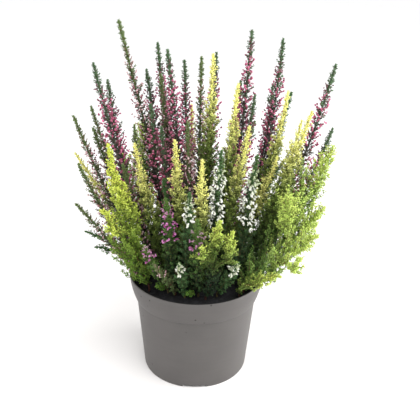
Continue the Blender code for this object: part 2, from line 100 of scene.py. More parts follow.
# The centre lines, as packed
ROOT_SHARE, ROOT_SHARE_LOSS, TALL_SHOOT = 0.60, 0.28, 240 * MM
ROOT_ROUNDS, ROOT_PUSH = 200, 0.3
BOW_OUT, BOW_UP = 0.60, 0.44
FLAT_BOW_UP, FLAT_SLOPE = 0.36, (0.4, 1.1)
FORK_AT, FORK_STAGGER, FORK_BARE = 0.42, 0.12, 0.3
LINE_POINTS, FINE_POINTS = 18, 60
SPREAD_ROUNDS, EVEN_ROUNDS = 90, 3
SHOOT_PUSH, LIP_PUSH = 0.16, 0.5
LIP_CLEARANCE = 1.2 * MM
FREEDOM_HEIGHTS, FREEDOM = (0, 0.25, 0.7, 1), (0, 1, 1, 0.35)
SOIL_CLEARANCE = 2 * SOIL_BUMP
NEAR_SOIL_WIDTH = 1.2
WIDTH_HEIGHTS = (0.0, 0.25, 0.5, 0.78, 1.0)
WIDTHS = {
    "crimson": (4.0, 5.5, 7.5, 7.0, 3.0),
    "pale": (4.0, 5.5, 6.5, 5.5, 2.4),
    "white": (4.5, 6.0, 7.5, 7.0, 3.0),
    "magenta": (4.5, 6.0, 7.5, 7.0, 3.5),
    "lime": (5.0, 9.0, 9.0, 6.0, 2.8),
    "fern": (6.0, 10.0, 11.5, 9.5, 4.5),
    "tuft": (5.0, 8.0, 8.0, 6.5, 3.5),
    "plume": (9.0, 13.5, 13.5, 9.0, 4.0),
    "green": (5.0, 7.0, 7.0, 5.0, 2.6),
    "sprig": (2.5, 3.5, 3.5, 3.0, 1.5),
}

# Every shoot: its name, which starts with its kind, and the tips of its main stem and forks, in mm. Most tips
# that show in the photograph were read there, given a guessed depth and turned into mm through the camera
# that place_camera sets up. The others are chosen
SHOOTS = (
    ("crimson_far_left", (-91, 0, 298), (-83, 22, 280)),
    ("crimson_back_left", (-40, 55, 309), (-50, 46, 286)),
    ("crimson_mid_left", (-29, 20, 308)),
    ("crimson_behind", (-15, 60, 293)),
    ("crimson_heart", (-43, 0, 264), (-33, -8, 246)),
    ("crimson_by_yellow", (15, 60, 301)),
    ("crimson_tall_right", (46, 40, 324), (36, 52, 276)),
    ("crimson_mid_right", (50, 20, 270)),
    ("crimson_back_right", (76, 50, 316), (66, 62, 272)),
    ("crimson_far_right", (120, 18, 299)),
    ("crimson_low_right", (121, 30, 238)),
    ("pale_tallest", (-71, 20, 332)),
    ("pale_outer_left", (-115, 20, 247)),
    ("pale_left", (-104, 50, 249), (-97, 16, 237)),
    ("pale_low_left", (-107, -10, 211)),
    ("pale_lowest_left", (-110, -16, 175)),
    ("pale_pink_left", (-67, -14, 213), (-58, 4, 244)),
    ("pale_back", (-36, 34, 284)),
    ("pale_middle", (1, 30, 301)),
    ("pale_front", (-10, -14, 252)),
    ("pale_front_low", (-38, -52, 134)),
    ("white_middle", (19, -42, 236)),
    ("white_right", (50, -34, 230)),
    ("white_front", (-7, -56, 203)),
    ("white_low_left", (-15, -62, 141)),
    ("white_low_right", (36, -60, 141)),
    ("magenta_left", (-27, -54, 197)),
    ("magenta_front", (0, -66, 183)),
    ("magenta_low", (-46, -52, 152)),
    ("lime_big_left", (-75, -42, 239), (-80, -60, 188)),
    ("lime_left", (-55, -24, 235)),
    ("lime_front_left", (-20, -38, 243)),
    ("lime_tallest", (11, 0, 308)),
    ("lime_middle", (32, -18, 287)),
    ("lime_small", (3, -50, 230)),
    ("lime_front_middle", (42, -32, 254)),
    ("lime_tall_right", (77, 0, 278)),
    ("lime_twin_right", (95, -22, 266), (90, -6, 254)),
    ("lime_outer_right", (117, -18, 234)),
    ("lime_inner_right", (70, -12, 222)),
    ("lime_bent_left", (-121, 46, 203)),
    ("lime_front", (18, -80, 189), (29, -77, 178), (4, -82, 166)),
    ("fern_upper_right", (112, -30, 182), (76, -52, 200)),
    ("fern_right", (105, -46, 162), (90, -56, 142)),
    ("fern_low_right", (77, -54, 130)),
    ("green_low_left", (-110, 20, 131), (-98, 4, 122)),
    ("green_right", (87, 48, 267)),
    ("green_over_rim", (80, -18, 122)),
    ("green_inside_left", (-30, -30, 205)),
    ("lime_back", (-8, 80, 246), (14, 78, 222)),
    ("lime_back_left", (-78, 68, 196), (-58, 78, 228)),
    ("pale_back_right", (40, 78, 262), (56, 72, 232)),
    ("crimson_back_low", (-36, 78, 264), (-22, 84, 200)),
    ("green_back", (8, 80, 160), (-36, 76, 150)),
    ("white_back", (58, 72, 182), (86, 56, 196)),
    ("fern_back_right", (104, 52, 164), (76, 76, 146)),
    ("sprig_left", (-36, -45, 108)),
    ("sprig_front", (-8, -52, 105)),
)
# The kinds of those shoots whose names start otherwise
OTHER_KINDS = {"lime_big_left": "plume", "lime_front": "tuft", "fern_low_right": "tuft"}
OTHER_KINDS |= {"lime_outer_right": "fern", "lime_back_left": "fern"}

# Where the stems of shoots leave the soil that stand more upright than the rest, in metres
ROOTS = {"lime_big_left": (-0.045, -0.022)}

# How far some shoots sway to the right of their packed lines, in mm: half way up, and at the tip
SWAY = {
    "pale_tallest": (7, 0),
    "crimson_mid_left": (4, 0),
    "crimson_tall_right": (4, 0),
    "crimson_back_right": (8, 0),
    "crimson_far_right": (4, 0),
    "crimson_low_right": (7, 5),
    "lime_tall_right": (4, 0),
    "lime_outer_right": (5, 0),
}

# How each kind grows: a twig every so many mm along its stem, at an angle to it and turning up by a share of
# its length, longer low in the bush by so many mm, and no longer near the tip than a share of the distance
# to it; sprigs every so many mm along a twig; leaves of a length and width every so many mm; flowers on a
# share of the twigs between two distances below the tip, so many to a twig, of a length and width, and how
# far they nod; the mm of stem over which the leaves darken, partly in painted shade deep in the bush; and
# which bark it has
Growth = namedtuple(
    "Growth",
    "twig_every twig_angle twig_rise extra taper sprig_every leaf leaf_every "
    "zone share buds bud nod fade bark",
)
NO_BUDS = (0, 0), 0, 0, (1, 1), 0
GROWTH_ROWS = {
    "crimson": (1.2, 60, 0.18, 3, 0.22, 0, (2.5, 1.7), 1.1, (19, 140), 0.84, 4, (3.0, 2.2), 0.1, 160, 0),
    "pale": (1.2, 58, 0.20, 3, 0.20, 0, (2.5, 1.7), 1.1, (18, 135), 0.78, 4, (2.4, 1.9), 0.1, 160, 0),
    "white": (1.3, 56, 0.15, 3, 0.25, 0, (2.5, 1.6), 1.1, (16, 74), 0.95, 4, (4.2, 1.8), 0.8, 160, 1),
    "magenta": (1.3, 56, 0.15, 3, 0.3, 0, (2.5, 1.6), 1.1, (12, 60), 0.8, 3, (3.3, 1.8), 0.5, 160, 1),
    "lime": (1.8, 56, 0.35, 3, 0.20, 2.3, (2.6, 1.7), 1.15, *NO_BUDS, 150, 1),
    "fern": (1.5, 58, 0.55, 5, 0.60, 2.4, (2.7, 1.7), 1.2, *NO_BUDS, 150, 0),
    "plume": (1.5, 60, 0.40, 7.5, 0.22, 2.3, (2.8, 1.8), 1.2, *NO_BUDS, 190, 0),
    "tuft": (1.7, 55, 0.35, 1, 0.35, 2.3, (2.7, 1.7), 1.2, *NO_BUDS, 75, 0),
    "green": (1.5, 58, 0.30, 3, 0.30, 2.4, (2.6, 1.6), 1.2, *NO_BUDS, 160, 1),
    "sprig": (1.5, 52, 0.25, 0, 0.40, 0, (2.4, 1.4), 1.1, *NO_BUDS, 60, 1),
}
GROWTH = {kind: Growth(*row) for kind, row in GROWTH_ROWS.items()}
# Kinds whose twigs are longer towards one side: a direction times the share by which they are longer there,
# and the least share of their length that is left on the other side
FAVOURED = {"fern": ((0.4, 0, 2.6), 1.0), "plume": ((-0.75, -0.2, 0), 0.45)}
# The slots of the kinds that aren't named after themselves
SLOTS = dict.fromkeys(("fern", "plume", "tuft"), "feathery_heather")
# Between which distances below its tip a shoot flowers that differs from its kind, in mm
ZONES = {
    "white_front": (7, 34),
    "white_low_left": (0, 17),
    "white_low_right": (0, 20),
    "magenta_left": (2, 48),
    "magenta_front": (14, 40),
    "magenta_low": (0, 26),
    "pale_front_low": (0, 22),
    "crimson_heart": (12, 110),
    "crimson_tall_right": (9, 120),
    "crimson_back_right": (22, 140),
    "crimson_mid_left": (12, 130),
    "pale_tallest": (24, 140),
}
# How far below its tip a shoot starts to reach further than its packed form, and where it does so fully
REACH_BELOW, REACH_ABOVE = 30 * MM, 90 * MM
# Over what length below its tip a stem's twigs lie close, and the least length that they may have there
TIP_LENGTH, TIP_TWIG = 22 * MM, 1.2 * MM
# Twigs crowd together every so far along the stem, by a share
WHORL, CROWDING = 4.4 * MM, 0.75
# How far up its stem the first twig is, and how far up a fork as a share of its length
STEM_START, FORK_START = 2 * MM, 0.3 * FORK_BARE
# How far below its tip a stem's last twig is, and how far from its line its own leaves start
LAST_TWIG, LEAF_BASE = 0.3 * MM, 0.3 * MM
# The turn from each twig to the next, and how far that, a twig's place and its lean vary
GOLDEN_ANGLE, TURN_SPREAD, PLACE_SPREAD, LEAN_SPREAD = math.radians(137.5), 0.3, 0.3, 9
# A twig's radius, its least length low on the stem, and between which shares its length varies
TWIG_RADIUS, LEAST_TWIG, TWIG_LENGTHS = 0.38 * MM, 2 * MM, (0.70, 1.08)
# How far above the soil the ends of twigs stay
SOIL_SPACE = 2 * MM
# The sides of a stem's tube, and its thickness as a main stem, as a fork and at the tip
STEM_SIDES, MAIN_STEM, FORK_STEM, STEM_TIP = 5, 0.9, 0.7, 0.25
# How much of the depth of a fork's tip below the shoot's top counts when its leaves are darkened in painted
# shade
FORK_SHADE = 0.6
# How long a twig is at least that bears sprigs, and how long these are
SPRIG_TWIG, SPRIG = 6.0 * MM, 3.4 * MM
# The turn from sprig to sprig, how much of a twig bears them, and how far out on it their leaves count as
SPRIG_TURN, SPRIG_REACH, SPRIG_OUTWARD = 2.4, 0.93, 0.45
# Between which angles leaves and sprigs lean away from what bears them, in degrees
LEAF_LEAN, STEM_LEAF_LEAN, SPRIG_LEAN = (30, 58), (18, 42), (40, 62)
# How much alike the leaves of one twig are, and how much of a flowering twig has leaves
KINSHIP, LEAFY_SHARE = 0.6, 0.5
# Leaves on the stem itself: their spacing, how they crowd to the tip, their size and turn
STEM_LEAF_EVERY, STEM_LEAF_CROWDING = 1.1 * MM, 1.2
STEM_LEAF_SIZE, STEM_LEAF_TURN = 1.1, math.pi / 2 + 0.12
# How far apart buds are as a share of their twig, and over what length near the tip they are how small
BUD_STEP, YOUNG_LENGTH, YOUNG_SIZE = 0.17, 20 * MM, 0.62
# The length of stem below the start of the flowers over which the buds' colour changes
BUD_LENGTH = 160 * MM

# Leaf colours of each kind from low in the bush to the tip, the dark low ones partly the leaves' own colour
# and partly painted shade, and its buds' young, deep and light colours
LEAVES = {
    "crimson": ((0.030, 0.036, 0.026), (0.098, 0.092, 0.076), (0.084, 0.150, 0.070)),
    "pale": ((0.018, 0.036, 0.014), (0.085, 0.110, 0.050), (0.140, 0.200, 0.070)),
    "white": ((0.012, 0.030, 0.012), (0.045, 0.095, 0.032), (0.080, 0.165, 0.055)),
    "magenta": ((0.010, 0.028, 0.010), (0.038, 0.080, 0.028), (0.120, 0.220, 0.045)),
    "lime": ((0.030, 0.060, 0.014), (0.150, 0.215, 0.042), (0.880, 0.860, 0.280)),
    "fern": ((0.056, 0.112, 0.032), (0.195, 0.320, 0.076), (0.540, 0.670, 0.150)),
    "plume": ((0.050, 0.115, 0.018), (0.210, 0.330, 0.045), (0.700, 0.780, 0.130)),
    "tuft": ((0.014, 0.036, 0.014), (0.160, 0.235, 0.045), (0.560, 0.670, 0.130)),
    "green": ((0.010, 0.030, 0.010), (0.030, 0.080, 0.024), (0.060, 0.150, 0.040)),
    "sprig": ((0.015, 0.045, 0.012), (0.040, 0.110, 0.020), (0.110, 0.220, 0.030)),
}
BUDS = {
    "crimson": ((0.085, 0.045, 0.045), (0.265, 0.034, 0.088), (0.660, 0.180, 0.315)),
    "pale": ((0.160, 0.130, 0.060), (0.300, 0.095, 0.130), (0.780, 0.560, 0.580)),
    "white": ((0.350, 0.420, 0.200), (0.700, 0.720, 0.600), (0.930, 0.930, 0.890)),
    "magenta": ((0.350, 0.260, 0.260), (0.300, 0.022, 0.180), (0.560, 0.210, 0.450)),
}
# The two barks, and the material slots of a shoot
STEMS = (0.150, 0.055, 0.035), (0.110, 0.085, 0.030)
LEAF_SLOT, BUD_SLOT, STEM_SLOT = 0, 1, 2

# The soil's top: its sides and rings, where it starts to fall to its edge, and its clods as sums of sines of
# these frequencies and heights
SOIL_SIDES, SOIL_RINGS, SOIL_FLAT, AXIS_GAP = 120, 60, 0.55, 0.2 * MM
CLODS, CLOD_SINES = ((500, 0.30 * MM), (1100, 0.22 * MM), (2100, 0.16 * MM)), 7
# The rings of the pot's wall and lip, and the angle above which its edges look sharp
WALL_RINGS, LIP_RINGS, SHARP_ANGLE = 12, 9, math.radians(35)

# Each lamp: its name, its place, what it faces, its size and its watts
LAMPS = (
    ("key_lamp", (0.5, -0.7, 1.4), (0, 0, 0.15), 1.2, 16),
    ("fill_lamp", (-0.9, -0.6, 0.9), (0, 0, 0.15), 1.2, 4),
    ("side_lamp", (0.95, 0.05, 0.30), (0, 0, 0.06), 0.5, 8.5),
)
# How far the floor reaches on every side
FLOOR_REACH = 6


def colour_property(name, description, default):
    return FloatVectorProperty(name=name, description=description, subtype="COLOR", size=3, default=default)


def length_property(name, description, default):
    return FloatProperty(name=name, description=description, default=default, unit="LENGTH")


def angle_property(name, description, degrees):
    return FloatProperty(name=name, description=description, subtype="ANGLE", default=math.radians(degrees))


class PotLooks(bpy.types.PropertyGroup):
    """The plastic pot."""

    around: IntProperty(name="Sides", description="Flat sides round the pot", default=144, min=36)
    colour: colour_property("Plastic", "Colour of the plastic", (0.079, 0.073, 0.070))
    roughness: FloatProperty(name="Roughness", description="How dull it is", default=0.48, min=0, max=1)


class PlantLooks(bpy.types.PropertyGroup):
    """The shoots and the soil."""

    seed: IntProperty(name="Seed", description="Which plant of many alike", default=4)
    crumbs: IntProperty(name="Crumbs", description="Loose crumbs on the soil", default=900, min=0)
    soil_colour: colour_property("Soil", "Colour of the damp peat", (0.0085, 0.0085, 0.0105))


class StageLooks(bpy.types.PropertyGroup):
    """The floor, the light and the camera."""

    floor_colour: colour_property("Floor", "Colour of the floor", (0.88, 0.86, 0.85))
    lens: length_property("Lens", "Focal length", 51.4 * MM)
    distance: length_property("Distance", "Along the floor to the camera", 0.52)
    height: length_property("Height", "Height of the camera", 0.386)
    pitch: angle_property("Pitch", "How far the camera looks down", 23.0)
    yaw: angle_property("Yaw", "How far it looks to the right", 1.28)
    roll: angle_property("Roll", "How far it is tilted", 1.55)


class Value:
    """A number that a shader works out, with arithmetic on it."""

    def __init__(self, finish, socket):
        self.finish, self.socket = finish, socket

    def maths(self, operation, *values):
        return self.finish.value("ShaderNodeMath", {"operation": operation}, dict(enumerate(values)))

    def __add__(self, other):
        return self.maths("ADD", self, other)

    __radd__ = __add__

    def __mul__(self, other):
        return self.maths("MULTIPLY", self, other)

    def __sub__(self, other):
        return self.maths("SUBTRACT", self, other)

    def __rsub__(self, other):
        return self.maths("SUBTRACT", other, self)

    def rise(self, low, high):
        """0 below low, 1 above high, and smooth between."""
        settings = {"interpolation_type": "SMOOTHSTEP"}
        return self.finish.value("ShaderNodeMapRange", settings, {0: self, 1: low, 2: high})


class Finish:
    """A material in the making, with its nodes."""

    def __init__(self, name, roughness):
        self.material = bpy.data.materials.new(name)
        self.material.use_nodes = True
        self.tree = self.material.node_tree
        self.shader = self.tree.nodes["Principled BSDF"]
        self.feed("Roughness", roughness)

    def node(self, kind, settings=(), inputs=()):
        """A node of a kind, with its settings first and then the values or links of its sockets."""
        node = self.tree.nodes.new(kind)
        for name, setting in dict(settings).items():
            setattr(node, name, setting)
        for key, value in dict(inputs).items():
            self.connect(value, node.inputs[key])
        return node

    def connect(self, value, socket):
        """Links a socket to a value or an output, or sets it to a number, a vector or a colour."""
        value = value.socket if isinstance(value, Value) else value
        if isinstance(value, bpy.types.NodeSocket):
            self.tree.links.new(value, socket)
        elif socket.type == "RGBA":
            socket.default_value = (*value, 1)[:4]
        else:
            socket.default_value = value

    def value(self, kind, settings=(), inputs=(), output=0):
        return Value(self, self.node(kind, settings, inputs).outputs[output])

    def growth(self):
        """The height on the shoot, chance, the place along a leaf or bud, and that along its twig."""
        stored = self.node("ShaderNodeAttribute", {"attribute_name": "growth"})
        parts = self.node("ShaderNodeSeparateColor", (), {0: stored.outputs["Color"]})
        return [Value(self, socket) for socket in (*parts.outputs, stored.outputs["Alpha"])]

    def place(self):
        return self.node("ShaderNodeTexCoord").outputs["Object"]

    def noise(self, scale, detail=2.0, roughness=0.5, vector=None):
        inputs = {"Vector": vector or self.place(), "Scale": scale, "Detail": detail, "Roughness": roughness}
        return self.value("ShaderNodeTexNoise", (), inputs)

    def mixed(self, share, first, second):
        """One colour turning into another."""
        return self.node("ShaderNodeMix", {"data_type": "RGBA"}, {0: share, 6: first, 7: second}).outputs[2]

    def feed(self, name, value):
        self.connect(value, self.shader.inputs[name])

    def bump(self, height, strength, depth):
        inputs = {"Strength": strength, "Distance": depth, "Height": height}
        self.feed("Normal", self.node("ShaderNodeBump", (), inputs).outputs[0])


def set_mesh(name, vertices, faces, slots=None, growth=None):
    """A mesh object from whole arrays of vertices and triangles or quads."""
    mesh = bpy.data.meshes.new(name)
    mesh.from_pydata(vertices, [], faces)
    if slots is not None:
        mesh.polygons.foreach_set("material_index", slots.astype(np.int32))
    if growth is not None:
        stored = mesh.attributes.new("growth", "FLOAT_COLOR", "POINT")
        stored.data.foreach_set("color", growth.astype(np.float32).ravel())
    mesh.shade_smooth()
    piece = bpy.data.objects.new(name, mesh)
    bpy.context.scene.collection.objects.link(piece)
    return piece


def finish_piece(piece, node, slot, *materials):
    """Gives a piece its materials, and its place in the frame's bodies."""
    for material in materials:
        piece.data.materials.append(material)
    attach(piece, "root")
    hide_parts(node)


def tinted(colour, factor):
    return tuple(value * factor for value in colour)


def unit(vectors):
    return vectors / np.maximum(np.linalg.norm(vectors, axis=-1, keepdims=True), 1e-9)


def across(vectors, guide):
    """Unit vectors square to the given ones, as near to the guide as that allows."""
    return unit(guide - vectors * (guide * vectors).sum(axis=-1, keepdims=True))


def swung(angle, first, second):
    """Directions that are swung by an angle from a first one towards a second one square to it."""
    return np.cos(angle)[..., None] * first + np.sin(angle)[..., None] * second


def tube_faces(rings, sides):
    """The quads between rings of corners, and the triangles that close the first and the last ring onto the
    two corners that follow them all."""
    side = np.arange(sides)
    after = (side + 1) % sides
    row = np.arange(rings - 1)[:, None] * sides
    quads = np.stack([row + side, row + after, row + after + sides, row + side + sides], 2).reshape(-1, 4)
    last, count = (rings - 1) * sides, rings * sides
    low = np.stack([after, side, np.full(sides, count)], 1)
    high = np.stack([last + side, last + after, np.full(sides, count + 1)], 1)
    return quads, np.vstack([low, high])


def halved(quads):
    return np.vstack([quads[:, [0, 1, 2]], quads[:, [0, 2, 3]]])


def turned_surface(profile, around, ends=None):
    """A profile of (radius, height) turned about Z: radius times the cosine and sine of each angle. It is
    closed by a corner on the axis at each end, at the height of that end unless others are given."""
    angle = np.linspace(0, 2 * np.pi, around, endpoint=False)
    radius, height = np.asarray(profile, float).T[..., None]
    rings = np.stack([radius * np.cos(angle), radius * np.sin(angle), np.repeat(height, around, 1)], 2)
    low, high = ends or (height[0, 0], height[-1, 0])
    corners = np.vstack([rings.reshape(-1, 3), [(0, 0, low), (0, 0, high)]])
    return corners, *tube_faces(len(height), around)


def wall_radius(height, inset, collar_foot):
    """A side of the pot's wall: a straight line up to the step, and a quarter of a sine above it."""
    up = np.clip((height - STEP_HEIGHT) / (POT_HEIGHT - LIP_RADIUS - STEP_HEIGHT), 0, 1)
    body = BASE_RADIUS + (BODY_TOP_RADIUS - BASE_RADIUS) * height / STEP_HEIGHT - inset
    flare = collar_foot + (RIM_RADIUS - inset - collar_foot) * np.sin(up * np.pi / 2)
    return np.where(height <= STEP_HEIGHT, body, flare)


def outer_wall(height):
    """The points (radius, height) of the pot's outside."""
    return np.stack([wall_radius(height, 0, COLLAR_FOOT_RADIUS), height], 1)


def inner_wall(height):
    """The points (radius, height) of the pot's inside."""
    return np.stack([wall_radius(height, WALL, BODY_TOP_RADIUS - WALL), height], 1)


def root_of(tip):
    """Where a shoot leaves the soil: nearer the middle of the pot than its tip, and more so if it is tall."""
    x, y, z = tip
    share = ROOT_SHARE - ROOT_SHARE_LOSS * (z * MM - SOIL_TOP) / TALL_SHOOT
    root = np.array([x, y]) * MM * share
    return root * min(1, ROOT_CIRCLE / max(np.linalg.norm(root), MM))


def spaced_roots(roots):
    """Moves roots apart until none stands nearer to another than the spacing."""
    roots = np.array(roots)
    for _ in range(ROOT_ROUNDS):
        delta = roots[:, None] - roots[None]
        distance = np.linalg.norm(delta, axis=2) + np.eye(len(roots))
        short = np.clip(ROOT_SPACING - distance, 0, None) * (1 - np.eye(len(roots)))
        roots = roots + ROOT_PUSH * (delta / distance[..., None] * short[..., None]).sum(axis=1)
        radius = np.linalg.norm(roots, axis=1, keepdims=True)
        roots = roots * np.minimum(1, ROOT_CIRCLE / np.maximum(radius, MM))
    return roots


def bowed_line(start, tip, count):
    """A quadratic curve from start to tip that first leans out and then turns up. One that runs out further
    than it rises goes up more steeply first."""
    start, tip = np.asarray(start, float), np.asarray(tip, float)
    way = tip - start
    flatness = np.interp(np.hypot(way[0], way[1]) / max(way[2], MM), FLAT_SLOPE, (0, 1))
    control = start + way * (BOW_OUT, BOW_OUT, BOW_UP + FLAT_BOW_UP * flatness)
    t = np.linspace(0, 1, count)[:, None]
    return (1 - t) ** 2 * start + 2 * t * (1 - t) * control + t**2 * tip


def fork_point(line, order):
    """Where a shoot's forks leave it, the second one above the first."""
    return line[round((FORK_AT + FORK_STAGGER * order) * (len(line) - 1))]


class Shoot:
    """One stem of the plant: a main stem or a fork, with its centre line and half widths."""

    def __init__(self, name, kind, start, tip, parent=None, order=0):
        self.name, self.kind, self.parent, self.order = name, kind, parent, order
        self.line = bowed_line(start, tip, LINE_POINTS)
        self.widths = np.interp(np.linspace(0, 1, LINE_POINTS), WIDTH_HEIGHTS, WIDTHS[kind]) * MM
        if parent:
            self.widths[: round(FORK_BARE * LINE_POINTS)] = STEM_RADIUS


def kind_of(name):
    return OTHER_KINDS.get(name, name.split("_")[0])


def all_shoots():
    """The stems and forks of the table, from their roots."""
    above = SOIL_TOP + STEM_UPRIGHT
    roots = spaced_roots([ROOTS.get(name) or root_of(tip) for name, tip, *_ in SHOOTS])
    shoots = []
    for (name, tip, *forks), root in zip(SHOOTS, roots):
        kind = kind_of(name)
        main = Shoot(name, kind, (*root, above), np.array(tip) * MM)
        shoots.append(main)
        for order, fork in enumerate(forks):
            shoots.append(Shoot(name, kind, fork_point(main.line, order), np.array(fork) * MM, main, order))
    return shoots


def smoothed(rows):
    """Evens out the values along each row, apart from its two ends."""
    for _ in range(EVEN_ROUNDS):
        rows[:, 1:-1] = (rows[:, :-2] + 2 * rows[:, 1:-1] + rows[:, 2:]) / 4
    return rows


def room_to_lip(points):
    """How far points lie from the pot's lip, or below it from its inner wall, and the way away from it."""
    around = np.linalg.norm(points[:, :2], axis=1)
    sideways = around - (RIM_RADIUS - WALL / 2)
    up = np.maximum(points[:, 2] - (POT_HEIGHT - LIP_RADIUS), 0)
    distance = np.hypot(sideways, up)
    outward = points[:, :2] / around[:, None]
    away = np.column_stack([outward * (sideways / distance)[:, None], up / distance])
    return distance - LIP_RADIUS - LIP_CLEARANCE, away


def spread_shoots(shoots):
    """Bends the lines of different shoots apart where they stand closer than their half widths, and keeps
    their roots in place."""
    lines = np.array([shoot.line for shoot in shoots])
    reach = np.array([shoot.widths for shoot in shoots]).ravel()
    names = np.repeat([shoot.name for shoot in shoots], LINE_POINTS)
    above_fork = np.tile(np.arange(LINE_POINTS) > FORK_BARE * LINE_POINTS, len(shoots))
    stem = np.repeat(np.arange(len(shoots)), LINE_POINTS)
    same_stem = stem[:, None] == stem[None]
    apart = (names[:, None] != names[None]) | (above_fork[:, None] & above_fork[None] & ~same_stem)
    freedom = np.interp(np.linspace(0, 1, LINE_POINTS), FREEDOM_HEIGHTS, FREEDOM)[None, :, None]
    for _ in range(SPREAD_ROUNDS):
        points = lines.reshape(-1, 3)
        squares = (points**2).sum(axis=1)
        distance = np.sqrt(np.maximum(squares[:, None] + squares[None] - 2 * points @ points.T, 1e-12))
        strength = np.clip(reach[:, None] + reach[None] - distance, 0, None) * apart / distance
        push = (strength.sum(axis=1)[:, None] * points - strength @ points) * SHOOT_PUSH
        to_lip, away = room_to_lip(points)
        push += away * np.clip(reach - to_lip, 0, None)[:, None] * LIP_PUSH
        lines = lines + smoothed(push.reshape(lines.shape) * freedom)
        for index, shoot in enumerate(shoots):
            if shoot.parent:
                anchor = fork_point(lines[shoots.index(shoot.parent)], shoot.order)
                lines[index] += (anchor - lines[index, 0]) * np.linspace(1, 0, LINE_POINTS)[:, None]
    for shoot, line in zip(shoots, lines):
        shoot.line = line


def interpolated(values, old, new):
    """The columns of values at old places along a line, at new places."""
    return np.array([np.interp(new, old, column) for column in values.T]).T


def finer(values):
    """Values along a packed line, at more points."""
    return interpolated(values, np.linspace(0, 1, LINE_POINTS), np.linspace(0, 1, FINE_POINTS))


def measure_room(shoots):
    """Narrows each shoot to its share of the room up to its nearest neighbours."""
    fine = [smoothed(finer(shoot.line)[None])[0] for shoot in shoots]
    wanted = [finer(shoot.widths[:, None])[:, 0] for shoot in shoots]
    for shoot, line, width in zip(shoots, fine, wanted):
        room = np.minimum(width, room_to_lip(line)[0])
        room = np.minimum(room, (line[:, 2] - SOIL_TOP - SOIL_CLEARANCE) * NEAR_SOIL_WIDTH)
        for other, other_line, other_width in zip(shoots, fine, wanted):
            if other.name != shoot.name:
                distance = np.linalg.norm(line[:, None] - other_line[None], axis=2)
                share = width[:, None] / (width[:, None] + other_width[None])
                room = np.minimum(room, (distance * share).min(axis=1) - GAP)
        lowest = np.minimum(np.minimum(np.roll(room, 1), np.roll(room, -1)), room)
        lowest[0], lowest[-1] = room[0], room[-1]
        shoot.fine, shoot.room = line, np.maximum(lowest, STEM_RADIUS)


def frames_along(points):
    """Unit vectors across and along a line, carried from point to point without twist."""
    along = unit(np.gradient(points, axis=0))
    first = [unit(np.cross((0, 1, 0), along[0]))]
    for direction in along[1:]:
        first.append(across(direction, first[-1]))
    first = np.array(first)
    return first, np.cross(along, first), along


def spindle(rings, sides):
    """A closed spindle along +Z, from 0 to 1, through rings of (radius, height)."""
    corners, quads, ends = turned_surface(rings, sides, (0, 1))
    return corners, np.vstack([halved(quads), ends])


# The scale leaf: its corners across, up and along it, and its triangles
LEAF = (
    np.array([(0, 0, 0), (-1, 0.6, 0.42), (1, 0.6, 0.42), (0, 0, 1)]),
    np.array([(0, 1, 2), (0, 3, 1), (0, 2, 3), (1, 3, 2)]),
)
TWIG = spindle([(1.0, 0.5)], 3)
BUD = spindle([(0.85, 0.25), (1.0, 0.68)], 4)
SMALL_BUD = spindle([(1.0, 0.5)], 4)
BELL = spindle([(0.80, 0.22), (0.95, 0.72)], 5)


class Heap:
    """The solids of one piece: their corners, triangles, material slots and growth values."""

    def __init__(self):
        self.corners, self.faces, self.slots, self.growth, self.count = [], [], [], [], 0

    def add(self, corners, faces, slot, growth):
        self.corners.append(corners)
        self.faces.append(faces + self.count)
        self.slots.append(np.full(len(faces), slot))
        self.growth.append(growth)
        self.count += len(corners)

    def add_copies(self, shape, frame, sizes, slot, marks, bends=None):
        """Copies of a shape: each corner is its origin, plus its place along the direction and across it, and
        a bend that grows with the square of its place along."""
        corners, faces = shape
        origins, directions, sides = frame
        lengths, widths = sizes
        along = corners[:, 2]
        places = (
            origins[:, None]
            + directions[:, None] * (lengths[:, None] * along)[..., None]
            + sides[:, None] * (widths[:, None] * corners[:, 0])[..., None]
            + np.cross(directions, sides)[:, None] * (widths[:, None] * corners[:, 1])[..., None]
        )
        if bends is not None:
            places = places + bends[:, None] * (along**2)[:, None]
        count, size = len(origins), len(corners)
        every = (faces[None] + np.arange(count)[:, None, None] * size).reshape(-1, 3)
        marks = [np.broadcast_to(np.reshape(mark, (-1, 1)), (count, size)) for mark in marks]
        growth = np.stack([*marks[:2], np.broadcast_to(along, (count, size)), marks[2]], 2)
        self.add(places.reshape(-1, 3), every, slot, growth.reshape(-1, 4))

    def piece(self, name):
        parts = self.corners, self.faces, self.slots, self.growth
        return set_mesh(name, *(np.concatenate(part) for part in parts))


def add_stem(heap, points, radii, heights, chance):
    """A tube round a line: each ring's corners lie a radius from the line across two unit vectors."""
    first, second, _ = frames_along(points)
    angle = np.linspace(0, 2 * np.pi, STEM_SIDES, endpoint=False)
    rings = points[:, None] + swung(angle, first[:, None], second[:, None]) * radii[:, None, None]
    corners = np.vstack([rings.reshape(-1, 3), points[:1], points[-1:]])
    quads, ends = tube_faces(len(points), STEM_SIDES)
    height = np.hstack([np.repeat(heights, STEM_SIDES), heights[0], heights[-1]])
    growth = np.stack([height, np.full(len(height), chance), height, np.zeros(len(height))], 1)
    heap.add(corners, np.vstack([halved(quads), ends]), STEM_SLOT, growth)


